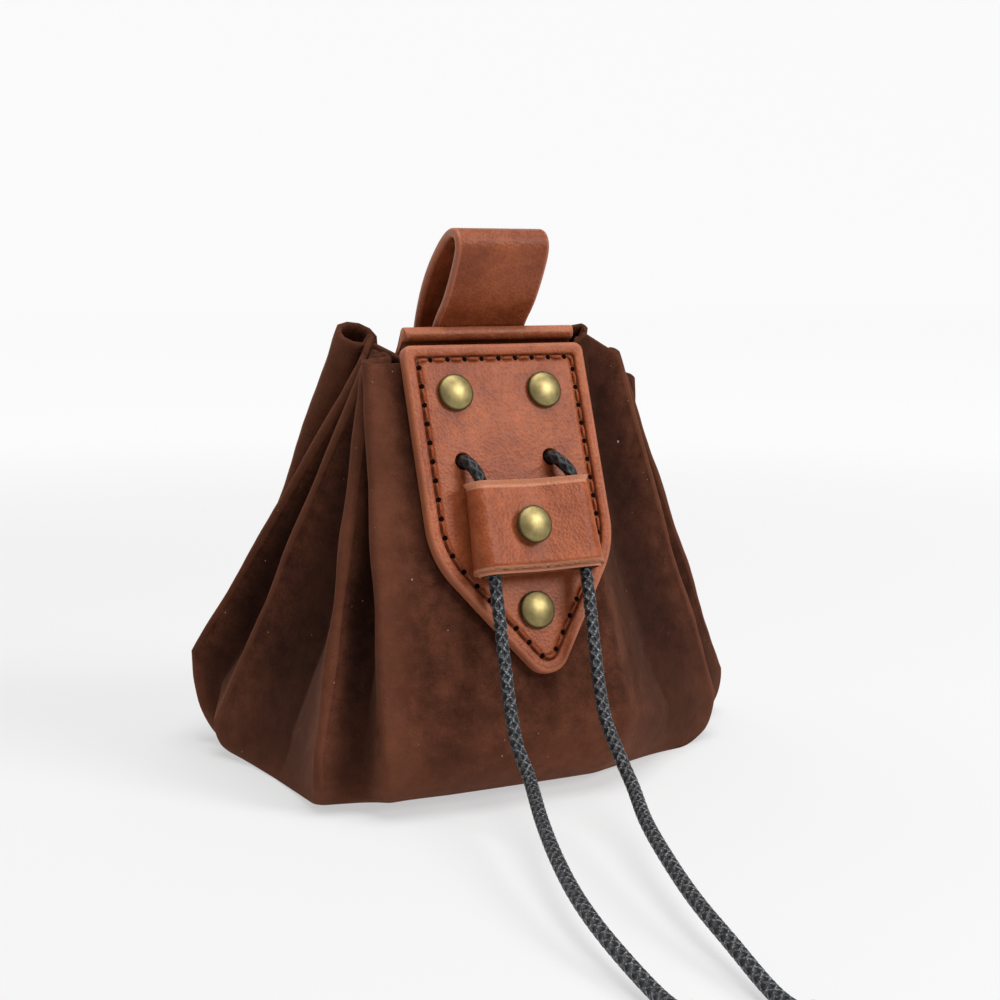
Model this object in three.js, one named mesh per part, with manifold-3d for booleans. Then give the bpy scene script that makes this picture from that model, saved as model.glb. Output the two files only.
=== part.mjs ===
// Medieval belt pouch: gathered suede body, riveted leather plates, belt loop, cord slider and drawcord.
// Millimetres, +Z up. The front faces -Y, the pouch stands on Z = 0, and X = 0 is the front plate's middle.
import * as THREE from 'three';
import * as BufferGeometryUtils from 'three/addons/utils/BufferGeometryUtils.js';
import Module from 'manifold-3d';

const wasm = await Module();
wasm.setup();

// Driving sizes of the suede body
const SUEDE_THICKNESS = 1.3;
const BODY_HEIGHT = 92;
const BODY_WIDTH = 124;
const BODY_DEPTH = 96;
const BASE_CENTRE_X = 9;
const BASE_CENTRE_Y = -3;
const CREASE_GAP = 0.3;
const PLEAT_GAP = 0.4;
const PLEAT_REACH = 10;
const BASE_CORNER_RADIUS = 3.5;
const HIP_HEIGHT = 15;

// Driving sizes of the leather plates
const PLATE_WIDTH = 43.2;
const PLATE_SHIFT = 0.4;
const PLATE_THICKNESS = 2.8;
const PLATE_RIM_WIDTH = 2.6;
const PLATE_RECESS = 0.5;
const PLATE_SHOULDER = 45.5;
const PLATE_POINT_DROP = 74.8;
const PLATE_POINT_SHIFT = 2;
const SHOULDER_RADIUS = 20;
const POINT_RADIUS = 5.4;
const TOP_CORNER_RADIUS = 2;
const PLATE_ABOVE_BODY = 2.6;
const PLATE_TOP_Y = -27;
const PLATE_LEAN_DEG = 19;
const BACK_PLATE_WIDTH = 41.2;
const BACK_PLATE_LENGTH = 36;
const BACK_PLATE_THICKNESS = 2;
const BACK_PLATE_ROLL = 3.2;
const BACK_PLATE_SHIFT = 3.6;
const BACK_PLATE_ABOVE_BODY = 5;
const BACK_LEAN_DEG = 36;
const MOUTH_GAP = 1.2;

// Driving sizes of the belt loop, the rivets, the slider and the cord
const LOOP_WIDTH = 22.2;
const LOOP_THICKNESS = 2;
const LOOP_RISE = 22.2;
const LOOP_TAIL = 32;
const LOOP_SHIFT = 2.5;
const TAIL_RIVET_DROP = 26;
const CAP_DIAMETER = 8;
const CAP_HEIGHT = 1.6;
const SHANK_DIAMETER = 2.8;
const WASHER_DIAMETER = 6.4;
const WASHER_THICKNESS = 0.8;
const UPPER_RIVET_SPACING = 21.2;
const UPPER_RIVET_DROP = 10.6;
const LOWER_RIVET_DROP = 57.8;
const LOWER_RIVET_SHIFT = 0.6;
const CORD_DIAMETER = 2.7;
const CORD_HOLE_SPACING = 20.8;
const CORD_HOLE_DROP = 25.3;
const CORD_HOLE_SHIFT = -0.6;
const SLIDER_WIDTH = 30;
const SLIDER_HEIGHT = 19.5;
const SLIDER_THICKNESS = 7.2;
const SLIDER_LEATHER = 1.8;
const SLIDER_PINCH = 1.5;
const SLIDER_DROP = 31;
const SLIDER_SHIFT = 0.9;
const SLIDER_RIVET_DROP = 40.9;
const SLIDER_RIVET_SHIFT = -1.5;
const SLIDER_HOLLOW = 20;
const SLIDER_WASHER_DIAMETER = 5;
const SLIDER_WASHER_THICKNESS = 0.7;
const CORD_LANE_SPACING = 21.6;
const KNOT_WRAP_RADIUS = 1.65;
const KNOT_WRAP_PITCH = 2.2;
const KNOT_WRAPS = 2.5;
const KNOT_STUB = 3;

// Arch of the belt loop from the top of the front tail: shares of LOOP_RISE back and up
const LOOP_ARCH = [
  { back: -0.02, up: 0.02 },
  { back: -0.19, up: 0.2 },
  { back: -0.36, up: 0.46 },
  { back: -0.46, up: 0.68 },
  { back: -0.42, up: 0.81 },
  { back: -0.28, up: 0.83 },
  { back: -0.08, up: 0.72 },
  { back: 0.16, up: 0.5 },
  { back: 0.34, up: 0.25 },
  { back: 0.48, up: -0.06 },
  { back: 0.54, up: -0.34 },
];

// Free ends of the cord from the slider to the floor, in the order the cord runs
const LEFT_FALL = [
  { x: -13.6, y: -63, z: 18 },
  { x: -14.6, y: -70, z: 12.8 },
  { x: -20.9, y: -86.7, z: 9.5 },
  { x: -26.5, y: -102.5, z: 7.6 },
  { x: -30.9, y: -117.5, z: 6 },
  { x: -33.6, y: -131.4, z: 4.4 },
  { x: -35.4, y: -148.8, z: 2.2 },
  { x: -37, y: -158, z: 2.9 },
];
const RIGHT_FALL = [
  { x: 6.3, y: -63.2, z: 22 },
  { x: 3.8, y: -73, z: 16 },
  { x: 1.1, y: -82.9, z: 12 },
  { x: -3.9, y: -95.5, z: 9.5 },
  { x: -9.3, y: -111.5, z: 7.6 },
  { x: -13.7, y: -126.6, z: 6 },
  { x: -16.6, y: -140.3, z: 4.4 },
  { x: -19.7, y: -157, z: 2.2 },
  { x: -21.5, y: -166, z: 2.9 },
];

// Clearances
const GAP = 0.3;
const HOLE_CLEARANCE = 0.4;

// Worked-out places
const LEAN = THREE.MathUtils.degToRad(PLATE_LEAN_DEG);
const BACK_LEAN = THREE.MathUtils.degToRad(BACK_LEAN_DEG);
const FOLD_RADIUS = SUEDE_THICKNESS + CREASE_GAP / 2;
const PLEAT_PITCH = 2 * FOLD_RADIUS + PLEAT_GAP;
const PLATE_TOP_HEIGHT = BODY_HEIGHT + PLATE_ABOVE_BODY;
const BACK_PLATE_TOP_HEIGHT = BODY_HEIGHT + BACK_PLATE_ABOVE_BODY;
const SUEDE_FRONT_Y = PLATE_TOP_Y + (PLATE_THICKNESS + GAP) / Math.cos(LEAN);
const SUEDE_BACK_Y = SUEDE_FRONT_Y + 2 * SUEDE_THICKNESS + MOUTH_GAP;
const FRONT_LEFT_X = PLATE_SHIFT - PLATE_WIDTH / 2;
const BACK_LEFT_X = BACK_PLATE_SHIFT - BACK_PLATE_WIDTH / 2;
const BACK_RIGHT_X = BACK_PLATE_SHIFT + BACK_PLATE_WIDTH / 2;

const LEATHER = { color: 0x8f4a2c, roughness: 0.5, metalness: 0 };
const SUEDE = { color: 0x4b2d20, roughness: 0.95, metalness: 0 };
const BRASS = { color: 0x8a7a42, roughness: 0.35, metalness: 1 };
const CORD = { color: 0x23262a, roughness: 0.6, metalness: 0 };

const group = new THREE.Group();

function addPiece(name, geometry, look) {
  const mesh = new THREE.Mesh(geometry, new THREE.MeshStandardMaterial(look));
  mesh.name = name;
  group.add(mesh);
  return mesh;
}

function toSolid(geometry) {
  const bare = geometry.clone();
  bare.deleteAttribute('normal');
  bare.deleteAttribute('uv');
  const merged = BufferGeometryUtils.mergeVertices(bare, 1e-5);
  const mesh = new wasm.Mesh({
    numProp: 3,
    vertProperties: new Float32Array(merged.attributes.position.array),
    triVerts: new Uint32Array(merged.index.array),
  });
  return new wasm.Manifold(mesh);
}

function toGeometry(solid) {
  const mesh = solid.getMesh();
  const geometry = new THREE.BufferGeometry();
  geometry.setAttribute('position', new THREE.BufferAttribute(new Float32Array(mesh.vertProperties), 3));
  geometry.setIndex(new THREE.BufferAttribute(new Uint32Array(mesh.triVerts), 1));
  return geometry;
}

function cut(geometry, cutters) {
  let solid = toSolid(geometry);
  for (const cutter of cutters) solid = solid.subtract(toSolid(cutter));
  return toGeometry(solid);
}

// Frames of the two leaning plates: local x across, local y up the plate, local z out of its face
function plateFrame(topY, topZ, lean, outward) {
  const frame = new THREE.Matrix4();
  const across = new THREE.Vector3(-outward, 0, 0);
  const up = new THREE.Vector3(0, -outward * Math.sin(lean), Math.cos(lean));
  const out = new THREE.Vector3().crossVectors(across, up);
  frame.makeBasis(across, up, out);
  frame.setPosition(0, topY, topZ);
  return frame;
}

const FRONT_FRAME = plateFrame(PLATE_TOP_Y, PLATE_TOP_HEIGHT, LEAN, -1);
const BACK_FRAME = plateFrame(SUEDE_BACK_Y + GAP / Math.cos(BACK_LEAN), BACK_PLATE_TOP_HEIGHT, BACK_LEAN, 1);

function onFront(x, drop, out) {
  return new THREE.Vector3(x, -drop, out).applyMatrix4(FRONT_FRAME);
}

// Suede body
// Each crease is a round peg that the outline wraps, listed round the mouth from the front right. Side: -1 left,
// 1 right. Rim columns: how far the crease stands out past the plates as a share of PLEAT_REACH, its place in
// the stack of pleats counted in pitches from the front, and its height as a share of BODY_HEIGHT. Hip and foot
// columns: shares of half BODY_WIDTH and half BODY_DEPTH from the base centre, with the hip height as a share of
// HIP_HEIGHT. Roll: how wide the crease opens at the rim, in fold radii. Dip columns: depth of the valley after
// the crease at rim, half way and hip, shares of PLEAT_REACH.
const CREASES = [
  {
    name: 'right 1', side: 1, out: 1.0, stack: 0, rise: 1.0, roll: 1,
    hipX: 0.83, hipY: -0.39, hip: 0.7, footX: 0.62, footY: -0.45,
    dipRim: 0.45, dipMid: 0.75, dipHip: 0.35,
  },
  {
    name: 'right 2', side: 1, out: 1.42, stack: 1.1, rise: 0.945, roll: 1,
    hipX: 1.07, hipY: -0.01, hip: 0.75, footX: 0.93, footY: 0.0,
    dipRim: 0.6, dipMid: 0.55, dipHip: 0.25,
  },
  {
    name: 'right 3', side: 1, out: 1.95, stack: 2.6, rise: 0.93, roll: 1,
    hipX: 0.97, hipY: 0.5, hip: 1.1, footX: 0.82, footY: 0.42,
    dipRim: 0.34, dipMid: 0.55, dipHip: 0.3,
  },
  {
    name: 'right 4', side: 1, out: 1.0, stack: 4.2, rise: 1.055, roll: 1,
    hipX: 0.62, hipY: 0.88, hip: 1.2, footX: 0.52, footY: 0.72,
    dipRim: 0, dipMid: 0, dipHip: 0,
  },
  {
    name: 'right back', side: 1, out: 0.31, stack: 5.2, rise: 1.04, roll: 1,
    hipX: 0.38, hipY: 0.94, hip: 1.2, footX: 0.3, footY: 0.72,
    dipRim: 0, dipMid: 0, dipHip: 0,
  },
  {
    name: 'left back', side: -1, out: -0.1, stack: 5.2, rise: 1.02, roll: 1,
    hipX: -0.5, hipY: 0.94, hip: 1.2, footX: -0.46, footY: 0.74,
    dipRim: 0, dipMid: 0, dipHip: 0,
  },
  {
    name: 'left 5', side: -1, out: 0.52, stack: 4.6, rise: 1.045, roll: 2.4,
    hipX: -0.68, hipY: 0.95, hip: 1.6, footX: -0.56, footY: 0.76,
    dipRim: 0.4, dipMid: 0.6, dipHip: 0.3,
  },
  {
    name: 'left 4', side: -1, out: 0.32, stack: 3, rise: 0.985, roll: 1,
    hipX: -0.93, hipY: 0.68, hip: 1.45, footX: -0.76, footY: 0.55,
    dipRim: 0.28, dipMid: 0.8, dipHip: 0.5,
  },
  {
    name: 'left 3', side: -1, out: 0.43, stack: 2, rise: 0.97, roll: 1,
    hipX: -0.92, hipY: 0.38, hip: 0.55, footX: -0.8, footY: 0.3,
    dipRim: 0.36, dipMid: 0.95, dipHip: 0.7,
  },
  {
    name: 'left 2', side: -1, out: 0.56, stack: 1, rise: 0.965, roll: 1,
    hipX: -0.87, hipY: -0.72, hip: 0.85, footX: -0.78, footY: -0.5,
    dipRim: 0.45, dipMid: 0.75, dipHip: 0.45,
  },
  {
    name: 'left 1', side: -1, out: 0.67, stack: 0, rise: 0.985, roll: 1,
    hipX: -0.7, hipY: -0.93, hip: 0.9, footX: -0.56, footY: -0.54,
    dipRim: 0, dipMid: 0, dipHip: 0,
  },
];
const FRONT_DIP = { side: 0, dipRim: 0.02, dipMid: 0.4, dipHip: 0.15 };
const FRONT_RIM_SHARE = 0.985;
const BACK_RIM_SHARE = 1;
const RIM_TILT = 0.55;
const VALLEY_RISE = 0.025;
const VALLEY_SHARE = 0.22;
const VALLEY_FILL = 0.85;
const VALLEY_WIDEST = 2.2;
const PANEL_VALLEY = 12;
const PANEL_INSET = 5;
const PANEL_CORNER = 9;
const FRONT_FOOT_SHARE = 0.448;
const HOLLOW_FOOT_INSET = 3;
const LEVELS = 6;
const ROLL_LEVELS = 3;
const ARC_STEPS = 3;

const mix = (a, b, t) => a + (b - a) * t;
const frontY = (z) => SUEDE_FRONT_Y - (PLATE_TOP_HEIGHT - z) * Math.tan(LEAN);
const backY = (z) => SUEDE_BACK_Y + (BACK_PLATE_TOP_HEIGHT - z) * Math.tan(BACK_LEAN);

function creasePeg(row) {
  const edge = row.side > 0 ? BACK_RIGHT_X : FRONT_LEFT_X;
  const rimRadius = row.roll * FOLD_RADIUS;
  return {
    rim: new THREE.Vector3(
      edge + row.side * (row.out * PLEAT_REACH - rimRadius),
      SUEDE_FRONT_Y + rimRadius + CREASE_GAP / 2 + row.stack * PLEAT_PITCH,
      row.rise * BODY_HEIGHT,
    ),
    hip: new THREE.Vector3(
      BASE_CENTRE_X + row.hipX * BODY_WIDTH / 2,
      BASE_CENTRE_Y + row.hipY * BODY_DEPTH / 2,
      row.hip * HIP_HEIGHT,
    ),
    foot: new THREE.Vector3(
      BASE_CENTRE_X + row.footX * BODY_WIDTH / 2,
      BASE_CENTRE_Y + row.footY * BODY_DEPTH / 2,
      0,
    ),
    turn: 1,
    radii: [rimRadius, FOLD_RADIUS, BASE_CORNER_RADIUS],
    dips: row,
  };
}

// Corner of the flat front panel, on the plane behind the front plate
function frontCorner(side) {
  const x = side * (PLATE_WIDTH / 2 - PANEL_INSET);
  const z = FRONT_RIM_SHARE * BODY_HEIGHT;
  return {
    rim: new THREE.Vector3(x, frontY(z) + FOLD_RADIUS, z),
    hip: new THREE.Vector3(x, frontY(HIP_HEIGHT) + PANEL_CORNER, HIP_HEIGHT),
    foot: new THREE.Vector3(x, BASE_CENTRE_Y - FRONT_FOOT_SHARE * BODY_DEPTH / 2, 0),
    turn: 1,
    radii: [FOLD_RADIUS, PANEL_CORNER, PANEL_CORNER],
    dips: side > 0 ? FRONT_DIP : null,
  };
}

// Hollow corner where the back panel leaves the edge of the back plate, its foot set in from the crease beside it
function backCorner(x, crease) {
  const z = BACK_RIM_SHARE * BODY_HEIGHT;
  return {
    rim: new THREE.Vector3(x, backY(z) + GAP, z),
    hip: new THREE.Vector3(x, backY(HIP_HEIGHT) + GAP, HIP_HEIGHT),
    foot: new THREE.Vector3(
      crease.foot.x - crease.dips.side * HOLLOW_FOOT_INSET,
      crease.foot.y - HOLLOW_FOOT_INSET,
      0,
    ),
    turn: -1,
    radii: [GAP, GAP, GAP],
    dips: null,
  };
}

const rightPegs = CREASES.filter((row) => row.side > 0).map(creasePeg);
const leftPegs = CREASES.filter((row) => row.side < 0).map(creasePeg);
const PEGS = [
  frontCorner(1), ...rightPegs,
  backCorner(BACK_RIGHT_X, rightPegs[rightPegs.length - 1]), backCorner(BACK_LEFT_X, leftPegs[0]),
  ...leftPegs, frontCorner(-1),
];

// Direction of the straight wall between two pegs; a hollow peg has a negative radius
function wallAngle(a, b) {
  const distance = Math.hypot(b.x - a.x, b.y - a.y);
  return Math.atan2(b.y - a.y, b.x - a.x) + Math.asin((a.reach - b.reach) / distance);
}

// Valley peg between two creases: square to them near the base, straight in from the side near the mouth
function valleyPeg(peg, next, share, roll) {
  const angle = wallAngle({ ...peg, reach: peg.radius }, { ...next, reach: next.radius });
  const { side, dipRim, dipMid, dipHip } = peg.dips;
  const square = new THREE.Vector2(Math.sin(angle), -Math.cos(angle));
  const out = square.clone().lerp(new THREE.Vector2(side, 0), share * Math.abs(side)).normalize();
  const bow = 2 * (2 * dipMid - (dipHip + dipRim) / 2) * share * (1 - share);
  const dip = dipHip * (1 - share) ** 2 + bow + dipRim * share ** 2;
  const depth = Math.max(dip * PLEAT_REACH * Math.cos(roll) ** 2, CREASE_GAP / 2);
  const step = new THREE.Vector2(next.x - peg.x, next.y - peg.y);
  const along = step.dot(out) / 2;
  const across = Math.abs(step.cross(out)) / 2;
  const largest = Math.max(peg.radius, next.radius);
  const limit = side === 0 ? PANEL_VALLEY : VALLEY_WIDEST;
  const widest = Math.min(limit, VALLEY_SHARE * step.length(), across - largest);
  const lift = (peg.radius + next.radius) / 2 + widest - depth - Math.abs(along) * share;
  const centre = new THREE.Vector2(peg.x, peg.y).addScaledVector(step, 0.5).addScaledVector(out, lift);
  const room = Math.min(
    Math.hypot(centre.x - peg.x, centre.y - peg.y) - peg.radius,
    Math.hypot(centre.x - next.x, centre.y - next.y) - next.radius,
  );
  return {
    x: centre.x,
    y: centre.y,
    z: (peg.z + next.z) / 2 + VALLEY_RISE * BODY_HEIGHT * share ** 4,
    turn: -1,
    radius: Math.min(widest, VALLEY_FILL * room),
    tilt: RIM_TILT * share ** 6,
  };
}

// Pegs of one level: share runs from the hip to the rim, roll turns the wall under to the base
function levelPegs(share, roll) {
  const placed = PEGS.map((peg) => {
    const over = Math.cos(roll);
    return {
      x: mix(peg.foot.x, mix(peg.hip.x, peg.rim.x, share), over),
      y: mix(peg.foot.y, mix(peg.hip.y, peg.rim.y, share), over),
      z: mix(peg.hip.z, peg.rim.z, share) * (1 - Math.sin(roll)),
      turn: peg.turn,
      radius: mix(peg.radii[2], mix(peg.radii[1], peg.radii[0], share), over),
      tilt: RIM_TILT * share ** 6,
      dips: peg.dips,
    };
  });
  return placed.flatMap((peg, i) => {
    const hasValley = peg.dips !== null && peg.dips.dipMid > 0;
    return hasValley ? [peg, valleyPeg(peg, placed[(i + 1) % placed.length], share, roll)] : [peg];
  });
}

// Closed outline round the pegs, set in from the outside; a tilt lifts the back of each peg's arc
function outline(level, inset) {
  const pegs = level.map((peg) => ({ ...peg, reach: peg.turn * peg.radius - inset }));
  const count = pegs.length;
  const angles = pegs.map((peg, i) => wallAngle(peg, pegs[(i + 1) % count]));
  const points = [];
  const place = (peg, angle) => new THREE.Vector3(
    peg.x + peg.reach * Math.sin(angle),
    peg.y - peg.reach * Math.cos(angle),
    peg.z - peg.tilt * peg.reach * Math.cos(angle),
  );
  pegs.forEach((peg, i) => {
    const before = angles[(i + count - 1) % count];
    const lowest = peg.turn > 0 ? -0.5 : 0.5 - 2 * Math.PI;
    const sweep = THREE.MathUtils.euclideanModulo(angles[i] - before - lowest, 2 * Math.PI) + lowest;
    for (let k = 0; k <= ARC_STEPS; k += 1) points.push(place(peg, before + sweep * k / ARC_STEPS));
    const arrive = place(pegs[(i + 1) % count], angles[i]);
    points.push(points[points.length - 1].clone().lerp(arrive, 0.5));
  });
  return points;
}

// Rings of one skin from the rim to the base
function bodyRings(inset) {
  const rings = [];
  for (let k = 0; k < LEVELS; k += 1) rings.push(outline(levelPegs(1 - k / LEVELS, 0), inset));
  for (let k = 0; k <= ROLL_LEVELS; k += 1) {
    rings.push(outline(levelPegs(0, k / ROLL_LEVELS * Math.PI / 2), inset));
  }
  rings.flat().forEach((p) => {
    p.z += inset * Math.max(0, 1 - p.z / HIP_HEIGHT);
  });
  return rings;
}

function pouchBody() {
  const rows = [...bodyRings(SUEDE_THICKNESS).reverse(), ...bodyRings(0)];
  const count = rows[0].length;
  const positions = rows.flat().flatMap((p) => [p.x, p.y, p.z]);
  positions.push(BASE_CENTRE_X, BASE_CENTRE_Y, SUEDE_THICKNESS, BASE_CENTRE_X, BASE_CENTRE_Y, 0);
  const inside = rows.length * count;
  const last = inside - count;
  const indices = [];
  for (let i = 0; i < count; i += 1) {
    const j = (i + 1) % count;
    for (let row = 0; row < last; row += count) {
      indices.push(row + i, row + count + i, row + j, row + j, row + count + i, row + count + j);
    }
    indices.push(inside, i, j, inside + 1, last + j, last + i);
  }
  const geometry = new THREE.BufferGeometry();
  geometry.setAttribute('position', new THREE.BufferAttribute(new Float32Array(positions), 3));
  geometry.setIndex(indices);
  return geometry;
}

// Flat outline with rounded corners listed anticlockwise, set in from its edge; each corner has its own radius
function roundedShape(corners, inset, steps) {
  const points = corners.flatMap((corner, i) => {
    const before = corners[(i + corners.length - 1) % corners.length].at;
    const after = corners[(i + 1) % corners.length].at;
    const back = before.clone().sub(corner.at).normalize();
    const on = after.clone().sub(corner.at).normalize();
    const half = Math.acos(THREE.MathUtils.clamp(back.dot(on), -1, 1)) / 2;
    const radius = Math.max(corner.radius - inset, 0.8);
    const middle = back.clone().add(on).normalize();
    const centre = corner.at.clone().addScaledVector(middle, (inset + radius) / Math.sin(half));
    const first = new THREE.Vector2(-back.y, back.x).multiplyScalar(radius);
    const turn = Math.PI - 2 * half;
    return Array.from({ length: steps + 1 }, (_, k) => (
      first.clone().rotateAround(new THREE.Vector2(), turn * k / steps).add(centre)
    ));
  });
  return new THREE.Shape(points);
}

// Outline of the front plate, set in from its edge
function plateShape(inset) {
  const left = FRONT_LEFT_X;
  const right = PLATE_SHIFT + PLATE_WIDTH / 2;
  return roundedShape([
    { at: new THREE.Vector2(right, 0), radius: TOP_CORNER_RADIUS },
    { at: new THREE.Vector2(left, 0), radius: TOP_CORNER_RADIUS },
    { at: new THREE.Vector2(left, -PLATE_SHOULDER), radius: SHOULDER_RADIUS },
    { at: new THREE.Vector2(PLATE_POINT_SHIFT, -PLATE_POINT_DROP), radius: POINT_RADIUS },
    { at: new THREE.Vector2(right, -PLATE_SHOULDER), radius: SHOULDER_RADIUS },
  ], inset, 8);
}

const extrude = (shape, depth) => (
  new THREE.ExtrudeGeometry(shape, { depth, bevelEnabled: false, curveSegments: 12 })
);

// Round pin along the local z of a plate frame
function pin(x, drop, radius, from, to) {
  const geometry = new THREE.CylinderGeometry(radius, radius, to - from, 20);
  geometry.rotateX(Math.PI / 2);
  geometry.translate(x, -drop, (from + to) / 2);
  return geometry;
}

const cordHoles = [-1, 1].map((side) => ({
  x: CORD_HOLE_SHIFT + side * CORD_HOLE_SPACING / 2,
  drop: CORD_HOLE_DROP,
}));
const plateRivets = [
  { name: 'rivet_upper_left', x: -UPPER_RIVET_SPACING / 2, drop: UPPER_RIVET_DROP },
  { name: 'rivet_upper_right', x: UPPER_RIVET_SPACING / 2, drop: UPPER_RIVET_DROP },
  { name: 'rivet_lower', x: LOWER_RIVET_SHIFT, drop: LOWER_RIVET_DROP },
];
const holeRadius = (size) => size / 2 + HOLE_CLEARANCE;
const WASHER = { diameter: WASHER_DIAMETER, thickness: WASHER_THICKNESS };
const suedeDepth = PLATE_THICKNESS + GAP + SUEDE_THICKNESS;

function frontHoles(from, to) {
  return [
    ...cordHoles.map((hole) => pin(hole.x, hole.drop, holeRadius(CORD_DIAMETER), from, to)),
    ...plateRivets.map((rivet) => pin(rivet.x, rivet.drop, holeRadius(SHANK_DIAMETER), from, to)),
  ];
}

function frontPlate() {
  const blank = extrude(plateShape(0), PLATE_THICKNESS).translate(0, 0, -PLATE_THICKNESS);
  const recess = extrude(plateShape(PLATE_RIM_WIDTH), 1).translate(0, 0, -PLATE_RECESS);
  const plate = cut(blank, [recess, ...frontHoles(-PLATE_THICKNESS - 1, 1)]);
  return plate.applyMatrix4(FRONT_FRAME);
}

// Back plate: side profile with a rolled top edge, drawn as local y against local z
const ROLL_RADIUS = BACK_PLATE_ROLL / 2;
const TAIL_FACE = BACK_PLATE_THICKNESS / 2 + ROLL_RADIUS + GAP;
const tailRivets = [-1, 1].map((side) => ({
  name: side < 0 ? 'rivet_back_right' : 'rivet_back_left',
  x: side * LOOP_WIDTH / 4 - LOOP_SHIFT,
  drop: TAIL_RIVET_DROP,
}));

function backPlate() {
  const middle = BACK_PLATE_THICKNESS / 2;
  const dip = Math.asin(middle / ROLL_RADIUS);
  const shape = new THREE.Shape();
  shape.moveTo(-BACK_PLATE_LENGTH, 0);
  shape.absarc(-ROLL_RADIUS, middle, ROLL_RADIUS, Math.PI + dip, 3 * Math.PI - dip, false);
  shape.lineTo(-BACK_PLATE_LENGTH, BACK_PLATE_THICKNESS);
  shape.closePath();
  const plate = extrude(shape, BACK_PLATE_WIDTH);
  // Shape x is up the plate, shape y is out of it, and the extrusion runs across
  plate.applyMatrix4(new THREE.Matrix4().makeBasis(
    new THREE.Vector3(0, 1, 0),
    new THREE.Vector3(0, 0, 1),
    new THREE.Vector3(1, 0, 0),
  ));
  plate.translate(-BACK_PLATE_SHIFT - BACK_PLATE_WIDTH / 2, 0, 0);
  const holes = tailRivets.map((place) => (
    pin(place.x, place.drop, holeRadius(SHANK_DIAMETER), -1, BACK_PLATE_THICKNESS + 1)
  ));
  return cut(plate, holes).applyMatrix4(BACK_FRAME);
}

// Domed rivet with its clenched washer: head underside at headZ, washer top at innerZ
function rivet(frame, place, headZ, innerZ, washer) {
  const head = CAP_DIAMETER / 2;
  const edge = 0.5;
  const profile = [new THREE.Vector2(0, innerZ - washer.thickness)];
  profile.push(new THREE.Vector2(washer.diameter / 2, innerZ - washer.thickness));
  profile.push(new THREE.Vector2(washer.diameter / 2, innerZ));
  profile.push(new THREE.Vector2(SHANK_DIAMETER / 2, innerZ));
  profile.push(new THREE.Vector2(SHANK_DIAMETER / 2, headZ));
  profile.push(new THREE.Vector2(head, headZ));
  for (let k = 0; k <= 4; k += 1) {
    const angle = k / 4 * Math.PI / 2;
    profile.push(new THREE.Vector2(head * Math.cos(angle), headZ + edge + (CAP_HEIGHT - edge) * Math.sin(angle)));
  }
  profile[profile.length - 1].x = 0;
  const geometry = new THREE.LatheGeometry(profile, 12);
  geometry.rotateX(Math.PI / 2);
  geometry.translate(place.x, -place.drop, 0);
  return geometry.applyMatrix4(frame);
}

// Belt loop: points of the strap's middle as Y and Z, then an even thickness round them
function beltLoop() {
  const middle = TAIL_FACE + LOOP_THICKNESS / 2;
  const second = middle + LOOP_THICKNESS + GAP;
  const onBack = (up, out) => {
    const p = new THREE.Vector3(0, up, out).applyMatrix4(BACK_FRAME);
    return new THREE.Vector2(p.y, p.z);
  };
  const top = onBack(0, middle);
  const arch = LOOP_ARCH.map((row) => new THREE.Vector2(top.x + row.back * LOOP_RISE, top.y + row.up * LOOP_RISE));
  const bend = new THREE.SplineCurve([onBack(-LOOP_TAIL * 0.05, middle), ...arch, onBack(-LOOP_TAIL * 0.6, second)]);
  const path = [
    ...[1, 0.8, 0.6, 0.4, 0.2, 0.05].map((share) => onBack(-LOOP_TAIL * share, middle)),
    ...bend.getPoints(32).slice(1),
    ...[0.7, 0.8, 0.9, 1].map((share) => onBack(-LOOP_TAIL * share, second)),
  ];
  const side = (reach) => path.map((p, i) => {
    const way = path[Math.min(i + 1, path.length - 1)].clone().sub(path[Math.max(i - 1, 0)]).normalize();
    return new THREE.Vector2(p.x - way.y * reach, p.y + way.x * reach);
  });
  const shape = new THREE.Shape([...side(-LOOP_THICKNESS / 2), ...side(LOOP_THICKNESS / 2).reverse()]);
  const strap = extrude(shape, LOOP_WIDTH);
  strap.applyMatrix4(new THREE.Matrix4().makeBasis(
    new THREE.Vector3(0, 1, 0),
    new THREE.Vector3(0, 0, 1),
    new THREE.Vector3(1, 0, 0),
  ));
  strap.translate(LOOP_SHIFT - LOOP_WIDTH / 2, 0, 0);
  const holes = tailRivets.map((rivet) => (
    pin(rivet.x, rivet.drop, holeRadius(SHANK_DIAMETER), 0, TAIL_FACE + 3 * LOOP_THICKNESS).applyMatrix4(BACK_FRAME)
  ));
  return cut(strap, holes);
}

// Rivet through the pinched middle of the slider, clenched behind its back layer
function sliderRivet() {
  const place = { x: SLIDER_SHIFT + SLIDER_RIVET_SHIFT, drop: SLIDER_RIVET_DROP };
  const sag = (diameter) => (diameter / 2 + Math.abs(SLIDER_RIVET_SHIFT)) ** 2 / (2 * SLIDER_HOLLOW);
  const headZ = SLIDER_THICKNESS - SLIDER_PINCH - PLATE_RECESS + sag(CAP_DIAMETER) + 2 * GAP;
  const innerZ = SLIDER_PINCH - PLATE_RECESS - sag(SLIDER_WASHER_DIAMETER);
  const washer = { diameter: SLIDER_WASHER_DIAMETER, thickness: SLIDER_WASHER_THICKNESS };
  return rivet(FRONT_FRAME, place, headZ, innerZ, washer);
}

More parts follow.
